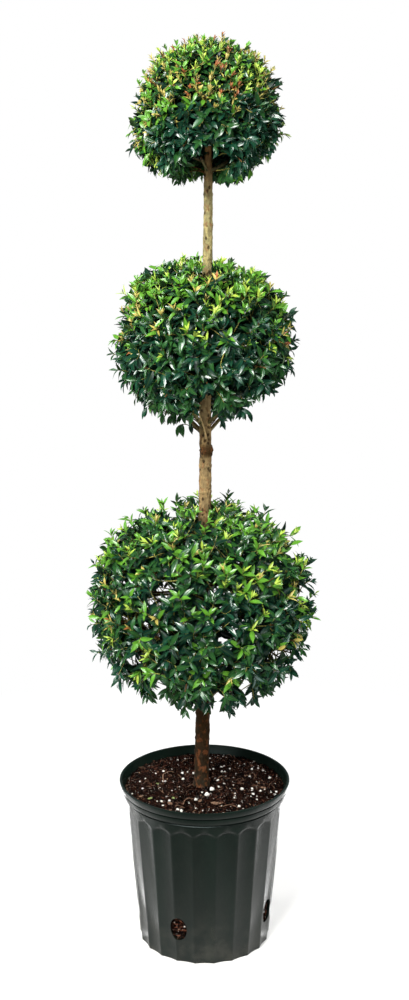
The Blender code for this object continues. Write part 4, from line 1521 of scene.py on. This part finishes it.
def leafy(ball, line, heading, number, kind, pairs, reach, chance):
    """(foot, direction, face, size, kind) of the leaves on a shoot: opposite pairs from its tip
    inwards, each turned a quarter from the last. Leaves low on the ball hang, and none stands far
    outside the clipped face."""
    centre, scale = stem_centre(ball["height"]), settings().foliage.leaf_scale
    ages = dealt(AGEING[ball["tip_pairs"]][kind]) + ["shaded"] * len(pairs)
    lengths = [(b - a).length for a, b in zip(line, line[1:])]
    total = sum(lengths)
    found = []
    for pair, (back, size, opening) in enumerate(pairs):
        if back > total:
            break
        place, along = at_length(line, lengths, total - back * chance.uniform(*LEAF_SPACING))
        ahead = heading if pair < 2 else along
        low = max(0.0, (centre.z - place.z) / ball["radius"])
        side = ahead.orthogonal().normalized()
        for hand in (0, 1):
            turn = math.pi / 2 * (pair + number % 2) + math.pi * hand
            turn += chance.uniform(-LEAF_STRAY, LEAF_STRAY)
            across = Matrix.Rotation(turn, 3, ahead) @ side
            open_to = math.radians(opening) * chance.uniform(*LEAF_OPENING)
            way = ahead * math.cos(open_to) + across * math.sin(open_to)
            hang = LOW_HANG * (0.1 + 0.8 * low) * min(1.0, pair / 2 + low)
            way = (way - Vector((0, 0, hang * chance.uniform(*LEAF_HANG)))).normalized()
            out = (place - centre).normalized()
            lie = LIE * eased(-out.z, *LIE_FROM) * (1 - eased(-out.z, *LIE_TO)) * (pair > 0)
            way = (way - out * (lie * max(0.0, way.dot(out)))).normalized()
            face = (ahead - way * ahead.dot(way)) * FACE_BACK + Vector((0, 0, FACE_UP))
            face += out * FACE_OUT
            face += across * chance.uniform(-0.3, 0.4) + TOWARDS_LIGHT * chance.uniform(0.0, 0.9)
            face = (face - way * face.dot(way)).normalized()
            long = size * chance.uniform(*LEAF_LENGTH) * ball["grown"] * scale
            tip = place + way * long - centre
            over = tip.length - clipped(ball, tip.normalized()) * reach * chance.uniform(0.96, 1.06)
            cut = long - max(0.0, over) / max(0.35, way.dot(tip.normalized()))
            if cut > SMALLEST_CUT * long:
                found.append((place, way, face, max(cut, SHORTENED * long), ages[pair]))
    return found


def at_length(line, lengths, distance):
    """The point at a distance along a line, and the line's direction there."""
    for i, step in enumerate(lengths):
        if distance <= step or i == len(lengths) - 1:
            way = (line[i + 1] - line[i]).normalized()
            return line[i] + way * min(distance, step), way
        distance -= step


def clear_of_stem(point, room):
    """True where a point keeps its distance from the stem."""
    if not STEM_FOOT < point.z < STEM_TIP:
        return True
    return (point - stem_centre(point.z)).length > stem_radius(point.z) + room


def crosses(spots, foot, tip):
    """True where a leaf or twig crosses one of these spots as the photograph's camera sees it. A
    spot is (x, z, size in millimetres) across the stem."""
    eye = Vector(CAMERA_PLACE)
    start, end = (eye + (point - eye) * (-eye.y / (point.y - eye.y)) for point in (foot, tip))
    run = end - start
    for x, z, size in spots:
        spot = Vector((x, 0, z))
        along = max(0.0, min(1.0, (spot - start).dot(run) / run.length_squared))
        if (start + run * along - spot).length < size * 0.001 + GAP_EDGE:
            return True
    return False


def open_to_sky(ball, foot, tip):
    """True where a leaf would close a gap that the photograph shows sky through, or would stand
    before the stem where it shows."""
    return crosses((*ball["gaps"], *(ball["windows"] if foot.y < 0 else ())), foot, tip)


def beyond_windows(ball, line, radii):
    """The outer part of a twig, past the last point where it would cross the bare stem."""
    first = 0
    for i in range(len(line) - 1):
        if line[i].y < 0 and crosses(ball["windows"], line[i], line[i + 1]):
            first = i + 1
    return line[first:], radii[first:]


def to_last_leaf(lines, feet):
    """Twigs cut back to the last point that bears a leaf."""
    kept = []
    for line, radii in lines:
        end = len(line)
        while end > 2 and np.min(np.linalg.norm(feet - np.array(line[end - 1]), axis=1)) > BARE_TIP:
            end -= 1
        if end > 1:
            kept.append((line[:end], radii[:end]))
    return kept


def grows(ball, foot, way, _, size, kind):
    """True for a leaf that keeps clear of the stem, of the gaps and of the edge of the box."""
    tip, (low, high) = foot + way * size, CAD_BOX
    return (clear_of_stem(foot.lerp(tip, 0.6), STEM_CLEARANCE["leaf"])
            and all(low[k] - OVERHANG < tip[k] < high[k] + OVERHANG for k in range(3))
            and not open_to_sky(ball, foot, tip))


def clipped(ball, way):
    """How far the leaves reach: the source's outline, a little lower on top and underneath, with
    the dents and swellings that the shears left."""
    trim = ball["top_trim"] * eased(way.z, 0.2, 1.0) - ball["swell"]
    trim += ball["low_trim"] * eased(-way.z, 0.35, 0.95)
    for azimuth, lift, depth in ball["dents"]:
        azimuth, lift = math.radians(azimuth), math.radians(lift)
        place = around(azimuth, math.cos(lift), math.sin(lift))
        trim += depth * math.exp(-((way - place).length_squared) / DENT_WIDTH**2)
    return outline(ball, way) * (1 - trim)


def under_hem(ball, way):
    """True low on the ball where its hem is lifted, at the front, to show the stem."""
    azimuth = math.atan2(way.x, -way.y)
    lift = ball["hem_lift"] * math.exp(-((azimuth / HEM_WIDTH) ** 2))
    lift += HEM_WAVE * (1 + math.sin(3 * azimuth + ball["seed"])) * (ball["hem_lift"] > 0)
    return way.z < lift - ball["open"]


def fine_shoots(ball, branches):
    """(line, radii) of the fine shoots that divide the branches, and the leaves on them all."""
    foliage, centre = settings().foliage, stem_centre(ball["height"])
    long, tip_pairs = ball["grown"] * foliage.leaf_scale, TIP_PAIRS[ball["tip_pairs"]]
    chance = random.Random(f"fine {ball['seed']}")
    ways = np.array([way for way, *_ in branches])
    lines, leaves = [], []
    for number, (way, line, _, heading) in enumerate(branches):
        kind = kind_of(ball, way, chance)
        pairs = tip_pairs if kind in YOUNG_KINDS else GROWN_PAIRS
        leaves += leafy(ball, line, heading, number, kind, pairs, 1.0, chance)
    count = round(ball["shoots"] * ball["density"] * foliage.fineness)
    for number, way, reach in spiral(count, ball["seed"] + 1, ball["open"]):
        stray = is_stray(number)
        inside = not stray and chance.random() < DEEP_SHARE
        # Leaves inside the ball take the near-black shaded kind, painted shade, unless they stand
        # high
        if inside:
            kind = "green" if way.z > GREEN_INSIDE_ABOVE else "shaded"
        else:
            kind = kind_of(ball, way, chance)
        if not stray:
            reach = chance.uniform(*(DEEP_REACH if inside else FINE_REACH))
        if under_hem(ball, way):
            continue
        heading = heading_of(way, ball["upright"] * chance.uniform(*UPRIGHT_RANGE), DROOP)
        swing = Vector([chance.gauss(0, ball["swing"]) for _ in range(3)])
        heading = (heading + swing - way * swing.dot(way)).normalized()
        young = not inside and (way.z > chance.uniform(*YOUNG_ABOVE) or kind in YOUNG_KINDS)
        slant = math.sqrt(max(0, 1 - heading.dot(way) ** 2))
        inset = (INSET_YOUNG if young else INSET_GROWN) + INSET_SLANTED * slant
        tip = centre + way * (clipped(ball, way) * reach - inset * long)
        if not clear_of_stem(tip, STEM_CLEARANCE["above" if way.z > 0 else "below"]):
            continue
        nearest = np.argsort(ways @ np.array(way))[-3:]
        _, parent, radii, _ = branches[int(nearest[chance.randrange(3)])]
        joint = chance.randrange(BRANCH_STEPS // 3, BRANCH_STEPS - 2)
        start = parent[joint]
        along = (parent[joint + 1] - start).normalized()
        leaving = (along + (tip - start).normalized()).normalized()
        line = curve(start, leaving, heading, tip, SHOOT_STEPS)
        if open_to_sky(ball, line[-3], tip):
            continue
        thick = tapered(min(SHOOT_THICK, radii[joint]), SHOOT_THIN, SHOOT_STEPS)
        lines.append(beyond_windows(ball, line, thick))
        pairs = tip_pairs if young else GROWN_PAIRS[1:] if inside else GROWN_PAIRS
        leaves += leafy(ball, line, heading, number, kind, pairs, max(1.0, reach), chance)
    return lines, leaves


def bare_stub():
    """The pale bare twig that stands before the stem under the middle ball."""
    start = stem_centre(STUB_FOOT) + Vector((0.001, -stem_radius(STUB_FOOT), 0))
    run = Vector(STUB_RUN)
    line = curve(start, Vector((0, -0.5, 0.87)), run.normalized(), start + run, SHOOT_STEPS)
    return [(line, tapered(STUB_THICK, STUB_THICK * 0.7, SHOOT_STEPS))]


def hanging_twigs(ball):
    """Thin twigs that leave the stem under the ball, each with its last leaves hanging."""
    chance = random.Random(f"hanging {ball['seed']}")
    lines, leaves = [], []
    for number, (height, azimuth, run, rise) in enumerate(ball["hanging"]):
        out = around(math.radians(azimuth), 1, 0)
        axis, up = stem_centre(height), Vector((0, 0, 1))
        line = curve(axis + out * stem_radius(height) * 0.8, (out + up * 0.9).normalized(),
                     (out - up * 0.5).normalized(), axis + out * run + up * rise, SHOOT_STEPS)
        lines.append((line, tapered(TWIG_THICK, SHOOT_THIN, SHOOT_STEPS)))
        feet = (line[-1], line[-2 - number % 2], line[-4])
        for foot in feet[:3 if run > LONG_TWIG else 2]:
            for hand in (-1, 1):
                side = Vector((-out.y, out.x, 0)) * hand
                way = out * chance.uniform(-0.2, 0.7) + side * chance.uniform(-0.2, 0.6)
                way = (way - up * chance.uniform(0.8, 1.5)).normalized()
                face = out * chance.uniform(0.2, 0.8) - side * hand * out.x * 0.9 + up * 0.5
                face = (face - way * face.dot(way)).normalized()
                long = ball["grown"] * chance.uniform(0.65, 0.85)
                leaves.append((foot, way, face, long, "deep" if number % 3 else "green"))
    return lines, leaves


def leaf_mesh(stations, fold, curl, twist, wave):
    """A leaf one unit long, with its foot at the origin, its tip along Y and its face up. Its
    halves fold up from the midrib, and it curls down towards its drawn-out tip."""
    verts, faces, places = [], [], []
    for t, half in stations:
        turn = twist * t * t
        for hand in (-1, 0, 1) if half else (0,):
            x, z = hand * half, abs(hand) * half * fold + hand * wave * half * math.sin(7 * t)
            verts.append((
                x * math.cos(turn) - z * math.sin(turn), t * (1 - 0.25 * curl * curl),
                -curl * t * t + x * math.sin(turn) + z * math.cos(turn),
            ))
            places.append((0.5 + 0.5 * hand * min(1.0, half / 0.19), t))
    for a in range(0, len(verts) - 4, 3):
        faces += [(a, a + 1, a + 4, a + 3), (a + 1, a + 2, a + 5, a + 4)]
    tip = len(verts) - 1
    faces += [(tip - 3, tip - 2, tip), (tip - 2, tip - 1, tip)]
    mesh = bpy.data.meshes.new("leaf")
    mesh.from_pydata(verts, [], faces)
    flat = mesh.uv_layers.new(name="UVMap")
    for loop in mesh.loops:
        flat.data[loop.index].uv = places[loop.vertex_index]
    mesh.shade_smooth()
    return mesh


def leaf_points(leaves, chance):
    """Points that hold each leaf's form, size and stance."""
    forms, stances = [], []
    for _, way, face, _, kind in leaves:
        stances += list(Matrix((way.cross(face), way, face)).transposed().to_quaternion())
        forms.append(chance.randrange(len(GROWN_FORMS)))
        if kind in YOUNG_KINDS and chance.random() < 0.75:
            forms[-1] = len(GROWN_FORMS) + chance.randrange(len(YOUNG_FORMS))
    mesh = bpy.data.meshes.new("leaf points")
    mesh.from_pydata([tuple(leaf[0]) for leaf in leaves], [], [])
    hold(mesh, "size", "FLOAT", [leaf[3] for leaf in leaves])
    hold(mesh, "form", "INT", forms)
    hold(mesh, "stance", "QUATERNION", stances)
    return mesh


# ---------------------------------------------------------------- operators


class TOPIARY_OT_pot(Operator):
    """Make the fluted nursery pot"""

    bl_idname = "topiary.pot"
    bl_label = "Nursery pot"

    def execute(self, context):
        add_piece("nursery_pot", build_pot(), "black_plastic", "pot")
        return {"FINISHED"}


class TOPIARY_OT_potting_mix(Operator):
    """Fill the pot with mix, and strew bark chips, fibres and perlite on it"""

    bl_idname = "topiary.potting_mix"
    bl_label = "Potting mix"

    def execute(self, context):
        mix = settings().mix
        body = mix_mesh()
        body.materials.append(mix_finish(mix))
        meshes = [("mix_body", body)]
        paints = {name: bit_finish(*row) for name, row in {
            "peat": ("peat_chip", tone(mix.dark, 0.5), tone(mix.dark, 1.8), 0.8, 200.0),
            "bark": ("bark_chip", tone(mix.dark, 1.6), tone(mix.brown, 1.9), 0.75, 120.0),
            "dry": ("dry_chip", tone(mix.tan, 0.25), mix.tan, 0.8, 220.0),
            "white": ("perlite_grain", tone(mix.white, 0.72), mix.white, 0.6, 700.0),
            "leaf": ("leaf_litter", *LITTER, 0.6, 200.0),
            # The drain chips are painted lighter, against the shade inside the holes
            "red": ("drain_chip", tone(mix.brown, 1.2), RED_CHIP, 0.7, 160.0),
        }.items()}
        bits = {"chip": chip_meshes, "fibre": fibre_meshes, "grain": grain_meshes}
        for name, form, amount, part, *sizes, paint in STREWN:
            density = getattr(mix, amount) * part
            meshes.append((name, strewn(bits[form](), density, *sizes, paints[paint])))
        for name, (form, number, paint, places) in LAID.items():
            meshes.append((name, laid(bits[form]()[number], places, paints[paint])))
        meshes.append(("mix_drain_chips", drain_chips(chip_meshes(), paints["red"])))
        for name, mesh in meshes:
            add_piece(name, mesh, "bark_mix", "potting_mix")
        return {"FINISHED"}


class TOPIARY_OT_stem(Operator):
    """Grow the stem from the mix to its tip in the top ball"""

    bl_idname = "topiary.stem"
    bl_label = "Stem"

    def execute(self, context):
        bark = settings().wood
        mesh = wood([stem_line()], 56, stem_finish(bark), relief=bark.relief, pits=0.12,
                    grain=210.0, lumps=0.30)
        add_piece("stem", mesh, "bark", "trunk")
        return {"FINISHED"}


class TOPIARY_OT_boughs(Operator):
    """Grow the main boughs from the stem to where they enter the balls"""

    bl_idname = "topiary.boughs"
    bl_label = "Main boughs"

    def execute(self, context):
        bark = settings().wood
        finish = limb_finish("bough_bark", bark, tone(bark.olive, 0.8), tone(bark.brown, 0.8))
        for name, ball in BALLS.items():
            for node, held_part, _ in parted_boughs(name, ball):
                mesh = wood([held_part], 14, finish, relief=bark.relief, pits=0.06,
                            grain=260.0, lumps=0.25)
                add_piece(f"{node}_wood", mesh, "bark", node)
        pale = bit_finish("stub_bark", tone(bark.tan, 1.9), tone(bark.tan, 3.0), 0.7, 300.0)
        add_piece("bare_stub", wood(bare_stub(), 8, pale), "bark")
        return {"FINISHED"}


class TOPIARY_OT_foliage(Operator):
    """Grow the branches, fine shoots and leaves of the three balls"""

    bl_idname = "topiary.foliage"
    bl_label = "Branches and leaves"

    def execute(self, context):
        foliage, bark = settings().foliage, settings().wood
        branch_bark = limb_finish("branch_bark", bark, tone(bark.brown, 2.2),
                                  tone(bark.brown, 0.8))
        shoot_bark = limb_finish("shoot_bark", bark, bark.twig, tone(bark.olive, 0.9))
        finishes = {kind: leaf_finish(kind, tuple(getattr(foliage, kind)), *feel)
                    for kind, feel in KINDS.items()}
        for name, ball in BALLS.items():
            node = f"{name}_ball_foliage"
            branches = branches_of(ball)
            lines, leaves = fine_shoots(ball, branches)
            hung, drooping = hanging_twigs(ball)
            leaves = [leaf for leaf in leaves + drooping if grows(ball, *leaf)]
            feet = np.array([leaf[0] for leaf in leaves])
            sticks = [beyond_windows(ball, line, radii) for _, line, radii, _ in branches]
            inner = [part for _, _, part in parted_boughs(name, ball) if len(part[0]) > 1]
            sticks = inner + hung + to_last_leaf(sticks, feet)
            add_piece(f"{name}_ball_branches", wood(sticks, 6, branch_bark), "bark", node)
            shoots = wood(to_last_leaf(lines, feet), 4, shoot_bark)
            add_piece(f"{name}_ball_shoots", shoots, "foliage", node)
            stations = [(t, half * ball["breadth"]) for t, half in LEAF_STATIONS]
            forms = forms_of("leaf_form", [leaf_mesh(stations, *form) for form in GROWN_FORMS]
                             + [leaf_mesh(YOUNG_STATIONS, *form) for form in YOUNG_FORMS])
            chance = random.Random(f"forms {name}")
            for kind in KINDS:
                points = leaf_points([leaf for leaf in leaves if leaf[4] == kind], chance)
                mesh = grown(points, "leaves", leaf_tree, Forms=forms, Material=finishes[kind])
                add_piece(f"{name}_ball_{kind}_leaves", mesh, "foliage", node)
            drop_forms(forms)
        return {"FINISHED"}


class TOPIARY_OT_stage(Operator):
    """Lay the pale floor, light the plant softly and set the camera at the photograph's angle"""

    bl_idname = "topiary.stage"
    bl_label = "Stage and camera"

    def execute(self, context):
        stage, scene = settings().stage, context.scene
        shape = bmesh.new()
        bmesh.ops.create_circle(shape, cap_ends=True, segments=96, radius=FLOOR_RADIUS)
        data = settled(shape, "floor")
        data.materials.append(floor_finish(stage))
        floor = set_up("floor", data)
        floor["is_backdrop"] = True
        scene.world = pale_room(stage)
        for name, place, power, (wide, tall), shade in LAMPS:
            lamp = bpy.data.lights.new(name, "AREA")
            lamp.shape, lamp.size, lamp.size_y = "RECTANGLE", wide, tall
            lamp.energy, lamp.color = getattr(stage, power), shade
            light = set_up(name, lamp)
            light.location = place
            aim = LAMP_AIM - Vector(place)
            light.rotation_euler = aim.to_track_quat("-Z", "Y").to_euler()
            light.visible_glossy = name == "key_light"
            light.visible_camera = False
        lens = bpy.data.cameras.new("photo_camera")
        lens.sensor_fit, lens.sensor_height = "VERTICAL", SENSOR
        lens.lens = SENSOR * FOCAL_PIXELS / PHOTO_HEIGHT
        camera = set_up("photo_camera", lens)
        camera.location = CAMERA_PLACE
        camera.rotation_euler = (math.pi / 2 - CAMERA_DIP, 0, 0)
        scene.camera = camera
        scene.view_settings.view_transform = "Standard"
        return {"FINISHED"}


OPERATORS = (
    TOPIARY_OT_stage, TOPIARY_OT_pot, TOPIARY_OT_potting_mix, TOPIARY_OT_stem, TOPIARY_OT_boughs,
    TOPIARY_OT_foliage,
)


class TOPIARY_PT_sidebar(Panel):
    """Lists the pieces of the topiary and their settings"""

    bl_idname = "TOPIARY_PT_sidebar"
    bl_label = "Three-ball topiary"
    bl_space_type = "VIEW_3D"
    bl_region_type = "UI"
    bl_category = "Topiary"

    def draw(self, context):
        for operator in OPERATORS:
            self.layout.operator(operator.bl_idname)
        for group in ("pot", "mix", "wood", "foliage", "stage"):
            box = self.layout.box()
            box.label(text=group.capitalize())
            values = getattr(settings(), group)
            for name in type(values).__annotations__:
                box.prop(values, name, text=name.replace("_", " ").capitalize())


CLASSES = (
    PotSettings, MixSettings, WoodSettings, FoliageSettings, StageSettings, TopiarySettings,
    *OPERATORS, TOPIARY_PT_sidebar,
)


def register():
    """Registers the classes and hangs the settings on the scene."""
    for item in CLASSES:
        bpy.utils.register_class(item)
    bpy.types.Scene.topiary = PointerProperty(type=TopiarySettings)


def unregister():
    """Takes them off again."""
    del bpy.types.Scene.topiary
    for item in reversed(CLASSES):
        bpy.utils.unregister_class(item)


def main():
    """Makes every piece in order."""
    register()
    for operator in OPERATORS:
        group, name = operator.bl_idname.split(".")
        getattr(getattr(bpy.ops, group), name)()
    sizes = {"cad": CAD_BOX, "visual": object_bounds()}
    plain = {key: [list(corner) for corner in box] for key, box in sizes.items()}


if __name__ == "__main__":
    main()
